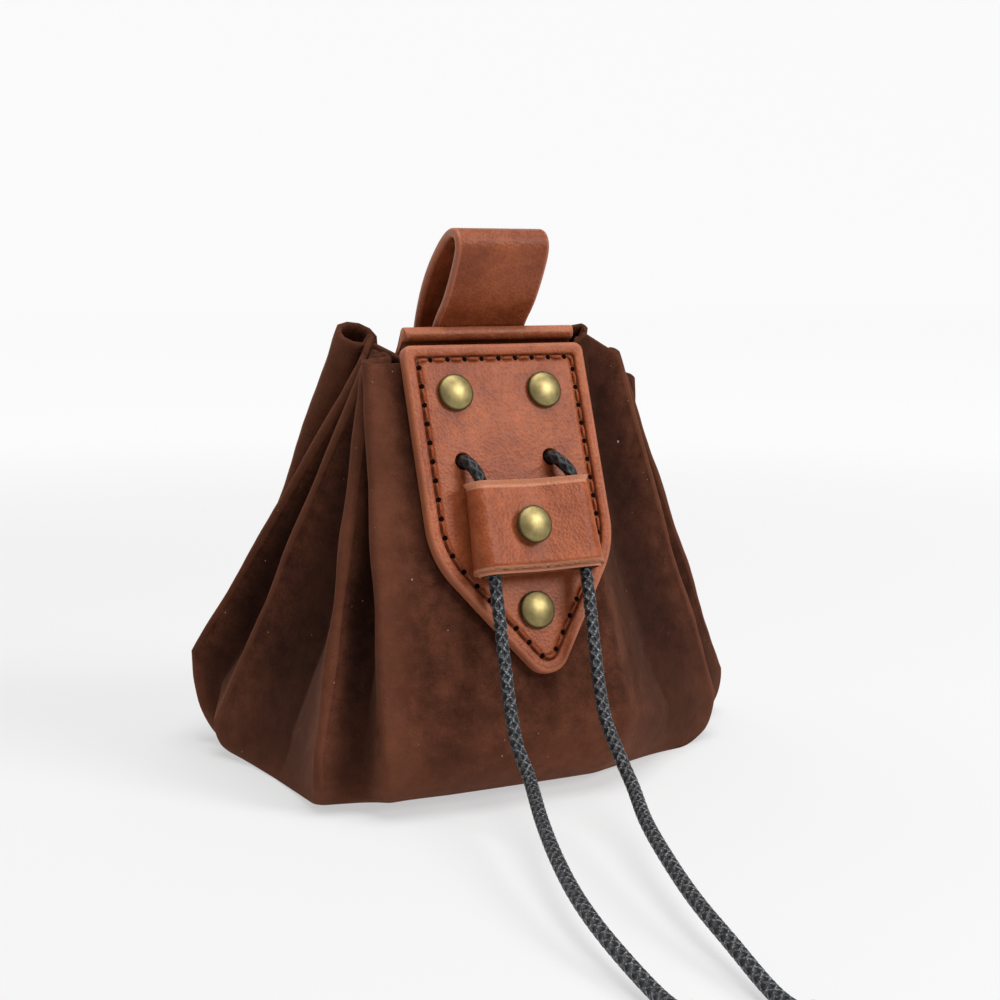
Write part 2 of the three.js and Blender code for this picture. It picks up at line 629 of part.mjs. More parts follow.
// Cord slider: a pinched loop of leather, its section drawn as local x against local z
function cordSlider() {
  const lobe = SLIDER_THICKNESS / 2;
  const hollow = lobe - SLIDER_PINCH + SLIDER_HOLLOW;
  const pegs = [
    { x: SLIDER_WIDTH / 2 - lobe, y: 0, z: 0, turn: 1, radius: lobe, tilt: 0 },
    { x: 0, y: hollow, z: 0, turn: -1, radius: SLIDER_HOLLOW, tilt: 0 },
    { x: lobe - SLIDER_WIDTH / 2, y: 0, z: 0, turn: 1, radius: lobe, tilt: 0 },
    { x: 0, y: -hollow, z: 0, turn: -1, radius: SLIDER_HOLLOW, tilt: 0 },
  ];
  const ring = (inset) => outline(pegs, inset).map((p) => new THREE.Vector2(p.x, p.y));
  const shape = new THREE.Shape(ring(0));
  shape.holes.push(new THREE.Path(ring(SLIDER_LEATHER)));
  const slider = extrude(shape, SLIDER_HEIGHT);
  slider.rotateX(Math.PI / 2);
  slider.translate(SLIDER_SHIFT, -SLIDER_DROP, lobe + GAP - PLATE_RECESS);
  const middle = SLIDER_SHIFT + SLIDER_RIVET_SHIFT;
  const hole = pin(middle, SLIDER_RIVET_DROP, holeRadius(SHANK_DIAMETER), -1, SLIDER_THICKNESS + 1);
  return cut(slider, [hole]).applyMatrix4(FRONT_FRAME);
}

// Round cord swept along a smooth line through points
function cord(points, steps) {
  const round = new THREE.Shape();
  round.absarc(0, 0, CORD_DIAMETER / 2, 0, 2 * Math.PI, false);
  const curve = new THREE.CatmullRomCurve3(points, false, 'centripetal');
  const settings = { steps, curveSegments: 4, bevelEnabled: false, extrudePath: curve };
  return toGeometry(toSolid(new THREE.ExtrudeGeometry(round, settings)));
}

const cordHeight = SLIDER_THICKNESS / 2 + GAP - PLATE_RECESS;

// From the hole in the plate, over its edge and down through the slider to the free end
function tail(side, fall) {
  const hole = cordHoles[side < 0 ? 0 : 1];
  const lane = SLIDER_SHIFT + side * CORD_LANE_SPACING / 2;
  const route = [
    onFront(hole.x, hole.drop, -PLATE_THICKNESS),
    onFront(hole.x, hole.drop, -0.6),
    onFront(hole.x, hole.drop + 0.5, 1),
    onFront(mix(hole.x, lane, 0.4), hole.drop + 2, 2.4),
    onFront(lane, hole.drop + 4.4, cordHeight),
    onFront(lane, SLIDER_DROP + SLIDER_HEIGHT * 0.3, cordHeight),
    onFront(lane, SLIDER_DROP + SLIDER_HEIGHT, cordHeight),
    ...fall.map((row) => new THREE.Vector3(row.x, row.y, row.z)),
  ];
  return cord(route, 56);
}

// Plain stopper knot that ends a cord: wraps of cord round its own end
function knot(fall) {
  const last = new THREE.Vector3(...Object.values(fall[fall.length - 1]));
  const way = last.clone().sub(new THREE.Vector3(...Object.values(fall[fall.length - 2]))).normalize();
  const round = new THREE.Shape();
  round.absarc(0, 0, CORD_DIAMETER / 2 - 0.1, 0, 2 * Math.PI, false);
  const turns = Array.from({ length: 26 }, (_, k) => {
    const angle = k / 25 * KNOT_WRAPS * 2 * Math.PI;
    const along = CORD_DIAMETER / 2 + k / 25 * KNOT_WRAPS * KNOT_WRAP_PITCH;
    return new THREE.Vector3(KNOT_WRAP_RADIUS * Math.cos(angle), KNOT_WRAP_RADIUS * Math.sin(angle), along);
  });
  const wraps = new THREE.ExtrudeGeometry(round, {
    steps: 20, curveSegments: 2, bevelEnabled: false, extrudePath: new THREE.CatmullRomCurve3(turns),
  });
  const core = extrude(round, CORD_DIAMETER + KNOT_WRAPS * KNOT_WRAP_PITCH + KNOT_STUB);
  const solid = toSolid(wraps).add(toSolid(core));
  const turn = new THREE.Quaternion().setFromUnitVectors(new THREE.Vector3(0, 0, 1), way);
  const turned = toGeometry(solid).applyQuaternion(turn);
  const start = last.addScaledVector(way, GAP);
  return turned.translate(start.x, start.y, start.z);
}

// Hidden stretch inside the bag, behind the front panel from hole to hole
function innerCord() {
  const [left, right] = cordHoles;
  const start = -suedeDepth - GAP;
  return cord([
    onFront(left.x, left.drop, -PLATE_THICKNESS - GAP),
    onFront(left.x, left.drop, start - 1),
    onFront(left.x + 2.5, left.drop - 1, start - 3.4),
    onFront(0, left.drop - 2, start - 4.5),
    onFront(right.x - 2.5, right.drop - 1, start - 3.4),
    onFront(right.x, right.drop, start - 1),
    onFront(right.x, right.drop, -PLATE_THICKNESS - GAP),
  ], 18);
}

const backWasher = -GAP - SUEDE_THICKNESS * Math.cos(BACK_LEAN) - GAP;
const backHead = TAIL_FACE + 2 * LOOP_THICKNESS + 2 * GAP;
const bodyHoles = [
  ...frontHoles(-PLATE_THICKNESS - 4, 0).map((hole) => hole.applyMatrix4(FRONT_FRAME)),
  ...tailRivets.map((rivet) => (
    pin(rivet.x, rivet.drop, holeRadius(SHANK_DIAMETER), -4, 0).applyMatrix4(BACK_FRAME)
  )),
];

addPiece('pouch_body', cut(pouchBody(), bodyHoles), SUEDE);
addPiece('front_plate', frontPlate(), LEATHER);
addPiece('back_plate', backPlate(), LEATHER);
addPiece('belt_loop', beltLoop(), LEATHER);
for (const place of plateRivets) {
  addPiece(place.name, rivet(FRONT_FRAME, place, GAP - PLATE_RECESS, -suedeDepth - GAP, WASHER), BRASS);
}
for (const place of tailRivets) {
  addPiece(place.name, rivet(BACK_FRAME, place, backHead, backWasher, WASHER), BRASS);
}
addPiece('cord_slider', cordSlider(), LEATHER);
addPiece('slider_rivet', sliderRivet(), BRASS);
addPiece('drawcord_left_tail', tail(-1, LEFT_FALL), CORD);
addPiece('drawcord_right_tail', tail(1, RIGHT_FALL), CORD);
addPiece('drawcord_left_knot', knot(LEFT_FALL), CORD);
addPiece('drawcord_right_knot', knot(RIGHT_FALL), CORD);
addPiece('drawcord_inner', innerCord(), CORD);

export default group;
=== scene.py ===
"""Medieval belt pouch: gathered suede body, riveted leather plates, belt loop, cord slider and drawcord.

Sizes are millimetres in the row's frame and are turned into metres where a mesh is made. The front faces -Y,
the pouch stands on Z = 0, and X = 0 is the middle of the front plate's frame.
"""
from __future__ import annotations

import logging
import math
from dataclasses import dataclass, field
from enum import Enum
from typing import Iterable, Sequence

import bpy
import numpy as np
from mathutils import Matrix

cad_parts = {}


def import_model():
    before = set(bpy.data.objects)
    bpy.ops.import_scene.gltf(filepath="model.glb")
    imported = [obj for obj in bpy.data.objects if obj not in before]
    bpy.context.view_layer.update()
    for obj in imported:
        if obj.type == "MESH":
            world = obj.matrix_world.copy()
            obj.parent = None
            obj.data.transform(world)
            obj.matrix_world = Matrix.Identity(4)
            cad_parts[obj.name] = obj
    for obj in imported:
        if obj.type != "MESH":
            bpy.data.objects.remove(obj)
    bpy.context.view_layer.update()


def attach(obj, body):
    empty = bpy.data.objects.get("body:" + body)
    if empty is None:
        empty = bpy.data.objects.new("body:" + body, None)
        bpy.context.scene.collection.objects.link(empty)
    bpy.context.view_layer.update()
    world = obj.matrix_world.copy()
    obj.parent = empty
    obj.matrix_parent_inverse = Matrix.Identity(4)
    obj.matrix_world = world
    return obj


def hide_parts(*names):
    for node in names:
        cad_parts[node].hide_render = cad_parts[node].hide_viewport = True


LOG = logging.getLogger("belt_pouch")
MM = 0.001
Array = np.ndarray


class Look(Enum):
    """The finishes of the pouch, each with the record's material slot."""

    SUEDE = "suede"
    LEATHER = "leather"
    BRASS = "brass"
    CORD = "cord"


@dataclass(frozen=True)
class Fits:
    """Sizes that more than one piece follows, in millimetres."""

    suede: float = 1.3
    crease_gap: float = 0.3
    pleat_gap: float = 0.4
    gap: float = 0.3
    plate_top: tuple[float, float] = (-27.0, 94.6)
    plate_thickness: float = 2.8
    plate_width: float = 43.2
    plate_shift: float = 0.4
    plate_lean: float = math.radians(19)
    back_top: float = 97.0
    back_lean: float = math.radians(36)
    mouth_gap: float = 1.2

    @property
    def fold(self) -> float:
        """Outside radius of a tight crease."""
        return self.suede + self.crease_gap / 2

    @property
    def pitch(self) -> float:
        """Distance between pleats stacked at the neck."""
        return 2 * self.fold + self.pleat_gap

    @property
    def front_left(self) -> float:
        """X of the front plate's left edge."""
        return self.plate_shift - self.plate_width / 2

    @property
    def suede_front(self) -> float:
        """Y of the suede just behind the front plate's top edge."""
        return self.plate_top[0] + (self.plate_thickness + self.gap) / math.cos(self.plate_lean)

    @property
    def suede_back(self) -> float:
        """Y of the suede in front of the back plate's top edge."""
        return self.suede_front + 2 * self.suede + self.mouth_gap

    def front_y(self, z: float) -> float:
        """Y of the suede's front panel at a height."""
        return self.suede_front - (self.plate_top[1] - z) * math.tan(self.plate_lean)

    def back_y(self, z: float) -> float:
        """Y of the suede's back panel at a height."""
        return self.suede_back + (self.back_top - z) * math.tan(self.back_lean)


FITS = Fits()


def plate_frame(top_y: float, top_z: float, lean: float, outward: int) -> Array:
    """Frame of a leaning plate: local x across, y up the plate, z out of its face.

    Args:
        top_y: Y of the plate's top edge.
        top_z: Z of the plate's top edge.
        lean: Lean from upright, in radians.
        outward: -1 for a face towards -Y, 1 for a face towards +Y.

    Returns:
        A 4 by 4 matrix from plate to row frame.
    """
    across = np.array([-outward, 0.0, 0.0])
    up = np.array([0.0, -outward * math.sin(lean), math.cos(lean)])
    frame = np.eye(4)
    frame[:3, 0] = across
    frame[:3, 1] = up
    frame[:3, 2] = np.cross(across, up)
    frame[:3, 3] = (0.0, top_y, top_z)
    return frame


FRONT = plate_frame(FITS.plate_top[0], FITS.plate_top[1], FITS.plate_lean, -1)
BACK = plate_frame(FITS.suede_back + FITS.gap / math.cos(FITS.back_lean), FITS.back_top, FITS.back_lean, 1)


def placed(frame: Array, points: Array) -> Array:
    """Points of a plate's frame moved into the row frame."""
    return points @ frame[:3, :3].T + frame[:3, 3]


def on_front(x: float, drop: float, out: float) -> Array:
    """A point at a place on the front plate.

    Args:
        x: Distance across from the plate's middle.
        drop: Distance down from its top edge.
        out: Distance out of its face.

    Returns:
        The point in the row frame.
    """
    return placed(FRONT, np.array([x, -drop, out]))


def quads(rows: int, cols: int, wrap_rows: bool, wrap_cols: bool, start: int = 0) -> Array:
    """Faces of a grid of points.

    Args:
        rows: Number of rows of the grid.
        cols: Number of columns of the grid.
        wrap_rows: Whether the last row joins the first.
        wrap_cols: Whether the last column joins the first.
        start: Index of the grid's first point.

    Returns:
        An array of four point indices per face.
    """
    r = np.arange(rows if wrap_rows else rows - 1)
    c = np.arange(cols if wrap_cols else cols - 1)
    rr, cc = np.meshgrid(r, c, indexing="ij")
    r2, c2 = (rr + 1) % rows, (cc + 1) % cols
    faces = np.stack([rr * cols + cc, rr * cols + c2, r2 * cols + c2, r2 * cols + cc], axis=-1)
    return faces.reshape(-1, 4) + start


def fan(ring: Array, centre: int) -> Array:
    """Triangles from a closed ring of point indices to a centre point."""
    return np.stack([ring, np.roll(ring, -1), np.full(len(ring), centre)], axis=-1)


def tube_faces(rows: int, cols: int) -> list[Array]:
    """Faces of a closed tube: a grid whose columns wrap round it, and a fan on its first and last row.

    Args:
        rows: Number of rows along the tube.
        cols: Number of points round it.

    Returns:
        The grid's faces, and the triangles to two centre points that follow the grid's points.
    """
    ring = np.arange(cols)
    ends = np.vstack([fan(ring[::-1], rows * cols), fan(ring + (rows - 1) * cols, rows * cols + 1)])
    return [quads(rows, cols, False, True), ends]


def turns(count: int) -> Array:
    """Directions spread evenly round a circle, in radians."""
    return np.linspace(0, 2 * math.pi, count + 1)[:-1]


def unit(vectors: Array) -> Array:
    """Vectors of length 1 along these, which lie on the last axis."""
    return vectors / np.linalg.norm(vectors, axis=-1, keepdims=True)


def turned(profile: Array, sides: int, x: float = 0.0, y: float = 0.0) -> Array:
    """Points of a solid turned round a Z axis: one ring per row of the profile, then the middles of its ends.

    Args:
        profile: Radius and height of each ring.
        sides: Number of points in a ring.
        x: X of the axis.
        y: Y of the axis.

    Returns:
        Points, one row each.
    """
    angle = turns(sides)
    grid = np.stack([
        x + profile[:, :1] * np.cos(angle),
        y + profile[:, :1] * np.sin(angle),
        np.broadcast_to(profile[:, 1:], (len(profile), sides)),
    ], axis=-1)
    return np.vstack([grid.reshape(-1, 3), (x, y, profile[0, 1]), (x, y, profile[-1, 1])])


def seam_map(run: Array, inset: Array, shape: tuple[int, ...]) -> Array:
    """Map values of a grid of points, for the map "seam".

    Args:
        run: First value, spread over the grid.
        inset: Second value, spread over the grid.
        shape: Rows and columns of the grid.

    Returns:
        Two values per point.
    """
    return np.stack([np.broadcast_to(run, shape), np.broadcast_to(inset, shape)], axis=-1).reshape(-1, 2)


def joined(arcs: Array, span: int) -> Array:
    """Closed outline: the points of each arc, then a straight run to the next arc.

    Args:
        arcs: Values by arc, by point of the arc and by coordinate, on the last three axes.
        span: Points in each straight run.

    Returns:
        The same values by point round the outline and by coordinate.
    """
    t = (np.arange(1, span + 1) / (span + 1))[:, None]
    last, first = arcs[..., -1:, :], np.roll(arcs[..., :1, :], -1, -3)
    whole = np.concatenate([arcs, last + (first - last) * t], axis=-2)
    return whole.reshape(*arcs.shape[:-3], -1, arcs.shape[-1])


def bends(x: Array, y: Array, reach: Array, turn: Array, steps: int) -> Array:
    """Directions round each peg of a closed outline, from where one wall arrives to where the next leaves.

    Args:
        x: Place of each peg, the last axis running round the outline.
        y: The same, across.
        reach: Radius of each peg, negative for a hollow.
        turn: 1 for a peg that the outline wraps outside, -1 for a hollow.
        steps: Number of directions at each peg.

    Returns:
        Angles with one more axis than x.
    """
    dx, dy = np.roll(x, -1, -1) - x, np.roll(y, -1, -1) - y
    leave = np.arctan2(dy, dx) + np.arcsin((reach - np.roll(reach, -1, -1)) / np.hypot(dx, dy))
    arrive = np.roll(leave, 1, -1)
    lowest = np.where(turn > 0, -0.5, 0.5 - 2 * math.pi)
    sweep = np.mod(leave - arrive - lowest, 2 * math.pi) + lowest
    return arrive[..., None] + sweep[..., None] * np.linspace(0, 1, steps)


def volume(points: Array, faces: Sequence[Array]) -> float:
    """Signed volume inside closed faces: positive when they point outwards."""
    total = 0.0
    for group in faces:
        for k in range(1, group.shape[1] - 1):
            a, b, c = points[group[:, 0]], points[group[:, k]], points[group[:, k + 1]]
            total += float(np.einsum("ij,ij->", a, np.cross(b, c)))
    return total / 6


def make_piece(name: str, points: Array, faces: Sequence[Array], uv: Array | None = None) -> bpy.types.Object:
    """Makes one closed piece from points in millimetres.

    Args:
        name: Name of the piece.
        points: Array of points, one row each.
        faces: Groups of faces, each with its own number of corners.
        uv: Optional map value per point, kept in the map "seam".

    Returns:
        The object, linked to the scene with smooth faces that point outwards.
    """
    if volume(points, faces) < 0:
        faces = [group[:, ::-1] for group in faces]
    mesh = bpy.data.meshes.new(name)
    corners = np.concatenate([group.ravel() for group in faces]).astype(np.int32)
    counts = np.concatenate([np.full(len(group), group.shape[1]) for group in faces])
    mesh.vertices.add(len(points))
    mesh.vertices.foreach_set("co", (points * MM).astype(np.float32).ravel())
    mesh.loops.add(len(corners))
    mesh.loops.foreach_set("vertex_index", corners)
    mesh.polygons.add(len(counts))
    mesh.polygons.foreach_set("loop_start", np.concatenate([[0], np.cumsum(counts)[:-1]]).astype(np.int32))
    mesh.polygons.foreach_set("use_smooth", np.ones(len(counts), dtype=bool))
    if uv is not None:
        layer = mesh.uv_layers.new(name="seam")
        layer.data.foreach_set("uv", uv[corners].astype(np.float32).ravel())
    mesh.update(calc_edges=True)
    mesh.validate()
    piece = bpy.data.objects.new(name, mesh)
    bpy.context.scene.collection.objects.link(piece)
    return piece


def stack_pieces(parts: Iterable[tuple[Array, Array]]) -> tuple[Array, Array]:
    """Joins several pieces of one kind.

    Args:
        parts: Points and faces of each piece.

    Returns:
        All points, and all faces with their indices moved on.
    """
    points, faces, start = [], [], 0
    for part_points, part_faces in parts:
        points.append(part_points)
        faces.append(part_faces + start)
        start += len(part_points)
    return np.concatenate(points), np.concatenate(faces)


def ripple(points: Array, wavelengths: tuple[float, float], count: int, seed: int) -> Array:
    """Smooth random relief: a sum of plane sine waves with random directions, from about -1 to 1.

    Args:
        points: Places in millimetres, on the last axis.
        wavelengths: Shortest and longest wave.
        count: Number of waves.
        seed: Seed of the random directions.

    Returns:
        One height per point.
    """
    rng = np.random.default_rng(seed)
    ways = unit(rng.normal(size=(count, 3)))
    ways *= (2 * math.pi / rng.uniform(*wavelengths, size=count))[:, None]
    waves = np.sin(points @ ways.T + rng.uniform(0, 2 * math.pi, size=count))
    return waves.sum(axis=-1) / math.sqrt(count)


def smoothstep(low: float, high: float, value: Array) -> Array:
    """0 below low, 1 above high, and a smooth turn between."""
    t = np.clip((value - low) / (high - low), 0, 1)
    return t * t * (3 - 2 * t)


def spline(points: Array, centripetal: bool, per_span: int) -> Array:
    """Catmull-Rom curve through points: each span is a cubic that leaves and arrives along its neighbours.

    Args:
        points: The points that the curve passes.
        centripetal: Whether spans are timed by the root of their length, or all alike.
        per_span: Number of steps in each span.

    Returns:
        Points along the curve.
    """
    ends = (points[0], points[-1])
    if centripetal:
        ends = (2 * points[0] - points[1], 2 * points[-1] - points[-2])
    p = np.vstack([ends[0], points, ends[1]])
    a, b, c, d = p[:-3], p[1:-2], p[2:-1], p[3:]
    if centripetal:
        ab, bc, cd = (np.sqrt(np.linalg.norm(q - o, axis=1))[:, None] for o, q in ((a, b), (b, c), (c, d)))
        leave = ((b - a) / ab - (c - a) / (ab + bc) + (c - b) / bc) * bc
        arrive = ((c - b) / bc - (d - b) / (bc + cd) + (d - c) / cd) * bc
    else:
        leave, arrive = (c - a) / 2, (d - b) / 2
    t = np.linspace(0, 1, per_span, endpoint=False)[None, :, None]
    b, c, leave, arrive = (v[:, None, :] for v in (b, c, leave, arrive))
    cubic, square = 2 * b - 2 * c + leave + arrive, -3 * b + 3 * c - 2 * leave - arrive
    line = cubic * t**3 + square * t**2 + leave * t + b
    return np.vstack([line.reshape(-1, points.shape[1]), points[-1]])


def run_along(line: Array) -> Array:
    """Distance along a line from its first point to each of its points."""
    return np.concatenate([[0], np.cumsum(np.linalg.norm(np.diff(line, axis=0), axis=1))])


def spaced(line: Array, count: int) -> Array:
    """The same line with its points spread evenly along it."""
    run = run_along(line)
    at = np.linspace(0, run[-1], count)
    return np.stack([np.interp(at, run, line[:, k]) for k in range(line.shape[1])], axis=-1)


def length(line: Array) -> float:
    """Length of a line of points."""
    return float(np.linalg.norm(np.diff(line, axis=0), axis=1).sum())


class Wire:
    """A socket of a node tree that can be used in sums like a number."""

    def __init__(self, paint: "Paint", socket: bpy.types.NodeSocket) -> None:
        """Keeps the tree and the socket."""
        self.paint = paint
        self.socket = socket

    def _math(self, operation: str, *values: "Wire | float") -> "Wire":
        """A Math node on these values."""
        return self.paint.node("ShaderNodeMath", {"operation": operation}, dict(enumerate(values)))

    def __add__(self, other: "Wire | float") -> "Wire":
        """Sum."""
        return self._math("ADD", self, other)

    __radd__ = __add__

    def __mul__(self, other: "Wire | float") -> "Wire":
        """Product."""
        return self._math("MULTIPLY", self, other)

    __rmul__ = __mul__

    def __sub__(self, other: "Wire | float") -> "Wire":
        """Difference."""
        return self._math("SUBTRACT", self, other)

    def __rsub__(self, other: "Wire | float") -> "Wire":
        """Reflected difference."""
        return self._math("SUBTRACT", other, self)

    def sin(self) -> "Wire":
        """Sine of an angle in radians."""
        return self._math("SINE", self)

    def abs(self) -> "Wire":
        """Size without sign."""
        return self._math("ABSOLUTE", self)

    def max(self, other: "Wire | float") -> "Wire":
        """The larger of two values."""
        return self._math("MAXIMUM", self, other)

    def wrap(self, span: float) -> "Wire":
        """Distance into a repeating span."""
        return self._math("WRAP", self, span, 0.0)

    def step(self, low: float, high: float) -> "Wire":
        """0 below low and 1 above high, smooth between; the other way round if low is above high."""
        ends = {1: low, 2: high, 3: 0.0, 4: 1.0} if low < high else {1: high, 2: low, 3: 1.0, 4: 0.0}
        return self.paint.node("ShaderNodeMapRange", {"interpolation_type": "SMOOTHSTEP"}, {0: self, **ends})


Colour = tuple[float, float, float]


class Paint:
    """Builds one material's node tree."""

    def __init__(self, name: str) -> None:
        """Starts a material with only its output and a principled surface."""
        self.material = bpy.data.materials.new(name)
        self.material.use_nodes = True
        self.tree = self.material.node_tree
        self.tree.nodes.clear()
        self.surface = self.tree.nodes.new("ShaderNodeBsdfPrincipled")
        output = self.tree.nodes.new("ShaderNodeOutputMaterial")
        self.tree.links.new(self.surface.outputs[0], output.inputs[0])

    def node(self, kind: str, settings: dict, inputs: dict, output: int | str = 0) -> Wire:
        """Adds a node.

        Args:
            kind: The node's type.
            settings: Its properties.
            inputs: A value or a wire for each of its sockets, by place or name.
            output: The socket to hand back.

        Returns:
            The node's output as a wire.
        """
        made = self.tree.nodes.new(kind)
        for key, value in settings.items():
            setattr(made, key, value)
        for key, value in inputs.items():
            self.join(made.inputs[key], value)
        return Wire(self, made.outputs[output])

    def join(self, socket: bpy.types.NodeSocket, value: object) -> None:
        """Gives a socket a wire or a plain value."""
        if isinstance(value, Wire):
            self.tree.links.new(value.socket, socket)
        elif isinstance(value, tuple) and len(value) == 3 and socket.type == "RGBA":
            socket.default_value = (*value, 1)
        else:
            socket.default_value = value

    def put(self, **values: object) -> None:
        """Sets sockets of the surface; an underscore in a name stands for a space."""
        for key, value in values.items():
            self.join(self.surface.inputs[key.replace("_", " ")], value)

    def place(self) -> Wire:
        """Object coordinates, in metres."""
        return self.node("ShaderNodeTexCoord", {}, {}, "Object")

    def seam(self) -> tuple[Wire, Wire]:
        """The map of a leather piece: run along its edge and distance in from it, in millimetres."""
        at = self.node("ShaderNodeUVMap", {"uv_map": "seam"}, {})
        split = self.node("ShaderNodeSeparateXYZ", {}, {0: at}, 0)
        other = Wire(self, split.socket.node.outputs[1])
        return split, other

    def noise(self, where: Wire, size_mm: float, detail: float = 3.0, rough: float = 0.55) -> Wire:
        """Cloudy noise whose blotches are about this size."""
        inputs = {"Vector": where, "Scale": 1 / (size_mm * MM), "Detail": detail, "Roughness": rough}
        return self.node("ShaderNodeTexNoise", {}, inputs, 0)

    def cells(self, where: Wire, size_mm: float) -> Wire:
        """Distance to the middle of the nearest cell of about this size."""
        return self.node("ShaderNodeTexVoronoi", {}, {"Vector": where, "Scale": 1 / (size_mm * MM)}, "Distance")

    def mix(self, share: Wire | float, first: Wire | Colour, second: Wire | Colour) -> Wire:
        """Blend of two colours."""
        made = self.tree.nodes.new("ShaderNodeMix")
        made.data_type = "RGBA"
        self.join(made.inputs[0], share)
        self.join(made.inputs[6], first)
        self.join(made.inputs[7], second)
        return Wire(self, made.outputs[2])

    def bump(self, height: Wire, depth_mm: float, strength: float = 1.0) -> None:
        """Relief from a height of 0 to 1, this deep."""
        inputs = {"Height": height, "Distance": depth_mm * MM, "Strength": strength}
        self.put(Normal=self.node("ShaderNodeBump", {}, inputs))


@dataclass(frozen=True)
class SuedeFinish:
    """Dark brown suede with a short nap and a few specks of lint."""

    # deep is the colour of the painted shade in the valleys and on the right side.
    deep: Colour = (0.011, 0.0036, 0.0023)
    dark: Colour = (0.021, 0.0063, 0.0034)
    middle: Colour = (0.055, 0.0168, 0.0088)
    pale: Colour = (0.165, 0.056, 0.030)
    lint: Colour = (0.5, 0.42, 0.36)

    def along(self, paint: Paint, at: Wire, axis: int) -> Wire:
        """Place along one axis, in metres."""
        return paint.node("ShaderNodeSeparateXYZ", {}, {0: at}, axis)

    def make(self) -> bpy.types.Material:
        """Builds the suede's material: painted shade in the valleys and on the right side, painted light on the
        creases and low down.

        Returns:
            The material.
        """
        paint = Paint("suede")
        at = paint.place()
        cloud = paint.noise(at, 16, 3)
        brushed = paint.noise(at, 3.2, 4, 0.65)
        fibre = paint.noise(at, 0.45, 3, 0.7)
        tone = cloud * 0.36 + brushed * 0.42 + fibre * 0.22
        skin = paint.mix(tone.step(0.34, 0.68), self.dark, self.pale)
        skin = paint.mix(0.4, skin, self.middle)
        fold, keep = paint.seam()
        # Painted light from the floor: paler below 28 mm, fully below 6 mm.
        skin = paint.mix(self.along(paint, at, 2).step(0.028, 0.006) * 0.35, skin, self.pale)
        # Painted shade: darker on the right, from X = 30 mm and fully past 55 mm.
        skin = paint.mix(self.along(paint, at, 0).step(0.03, 0.055) * 0.3, skin, self.deep)
        # Painted shade: darker in the valleys between the pleats.
        skin = paint.mix((fold * fold).step(0.75, 0.0) * keep * 0.7, skin, self.deep)
        # Painted highlight: paler along the crests of the pleats.
        skin = paint.mix(fold.step(0.93, 1.0) * keep * 0.5, skin, self.pale)
        speck = paint.noise(at, 1.1, 1, 0.4).step(0.79, 0.82)
        paint.put(Base_Color=paint.mix(speck * 0.6, skin, self.lint), Roughness=0.95)
        paint.put(Sheen_Weight=0.18, Sheen_Roughness=0.4, Sheen_Tint=(0.6, 0.27, 0.17), Specular_IOR_Level=0.08)
        paint.bump(fibre * 0.6 + brushed * 0.4, 0.45, 0.7)
        return paint.material


@dataclass(frozen=True)
class LeatherFinish:
    """Red-brown leather with a fine grain and edges burnished by handling."""

    name: str = "leather"
    dark: Colour = (0.150, 0.028, 0.0085)
    middle: Colour = (0.320, 0.073, 0.024)
    pale: Colour = (0.500, 0.145, 0.056)
    burnish: Colour = (0.48, 0.175, 0.095)
    edge: float = 0.7
    edge_shade: float = 0.5
    stitched: float = 0.0
    stitch_inset: float = 3.3
    step_inset: float = 2.75
    step_shadow: Colour = (0.05, 0.014, 0.008)

    def make(self) -> bpy.types.Material:
        """Builds the leather's material; a stitched piece also has needle holes along its edge, with painted
        shade in them and in the sewn groove.

        Returns:
            The material.
        """
        paint = Paint(self.name)
        at = paint.place()
        run, inset = paint.seam()
        cloud = paint.noise(at, 11, 3)
        mottle = paint.noise(at, 2.2, 4, 0.6)
        grain = paint.cells(at, 0.68)
        pores = paint.noise(at, 0.3, 2, 0.6)
        skin = paint.mix((cloud * 0.6 + mottle * 0.4).step(0.3, 0.7), self.dark, self.pale)
        skin = paint.mix(0.45, skin, self.middle)
        skin = paint.mix((grain * pores).step(0.32, 0.05) * 0.25, skin, self.dark)
        edge = inset.step(self.edge + 0.35, self.edge)
        skin = paint.mix(edge * self.edge_shade, skin, self.burnish)
        height = grain * 0.6 + pores * 0.2 + mottle * 0.2
        rough = mottle * 0.2 + 0.3
        if self.stitched > 0:
            across = (inset - self.stitch_inset).abs()
            groove = across.step(1.0, 0.25)
            along = (run.wrap(self.stitched) - self.stitched / 2).abs()
            hole = (along * along + across * across).step(1.0, 0.2)
            step = (inset - self.step_inset).abs().step(0.45, 0.05)
            # Painted shade: darker in the sewn groove and in the needle holes.
            skin = paint.mix(groove * 0.3 + hole * 0.3, skin, self.dark)
            skin = paint.mix(step * 0.6, skin, self.step_shadow)
            height = height - groove * 1.2
        paint.put(Base_Color=skin, Roughness=rough, Specular_IOR_Level=0.22)
        paint.bump(height, 0.17, 0.85)
        return paint.material


@dataclass(frozen=True)
class BrassFinish:
    """Antique brass, bright on the dome, with painted shade near the rim."""

    bright: Colour = (0.34, 0.27, 0.12)
    dull: Colour = (0.25, 0.195, 0.08)
    # dark is the colour of the painted shade near the rim of the cap.
    dark: Colour = (0.03, 0.02, 0.008)

    def make(self) -> bpy.types.Material:
        """Builds the brass's material.

        Returns:
            The material.
        """
        paint = Paint("antique_brass")
        at = paint.place()
        _, inset = paint.seam()
        stain = paint.noise(at, 1.6, 4, 0.6)
        fine = paint.noise(at, 0.35, 3, 0.6)
        skin = paint.mix(stain.step(0.35, 0.7), self.bright, self.dull)
        # Painted shade: darker near the rim of the cap, with a ragged edge.
        rim = (inset + stain * 0.6).step(0.9, 0.5)
        skin = paint.mix(rim * 0.8, skin, self.dark)
        paint.put(Base_Color=skin, Metallic=1.0, Roughness=fine * 0.1 + 0.36 + rim * 0.2)
        paint.bump(fine, 0.012, 0.4)
        return paint.material


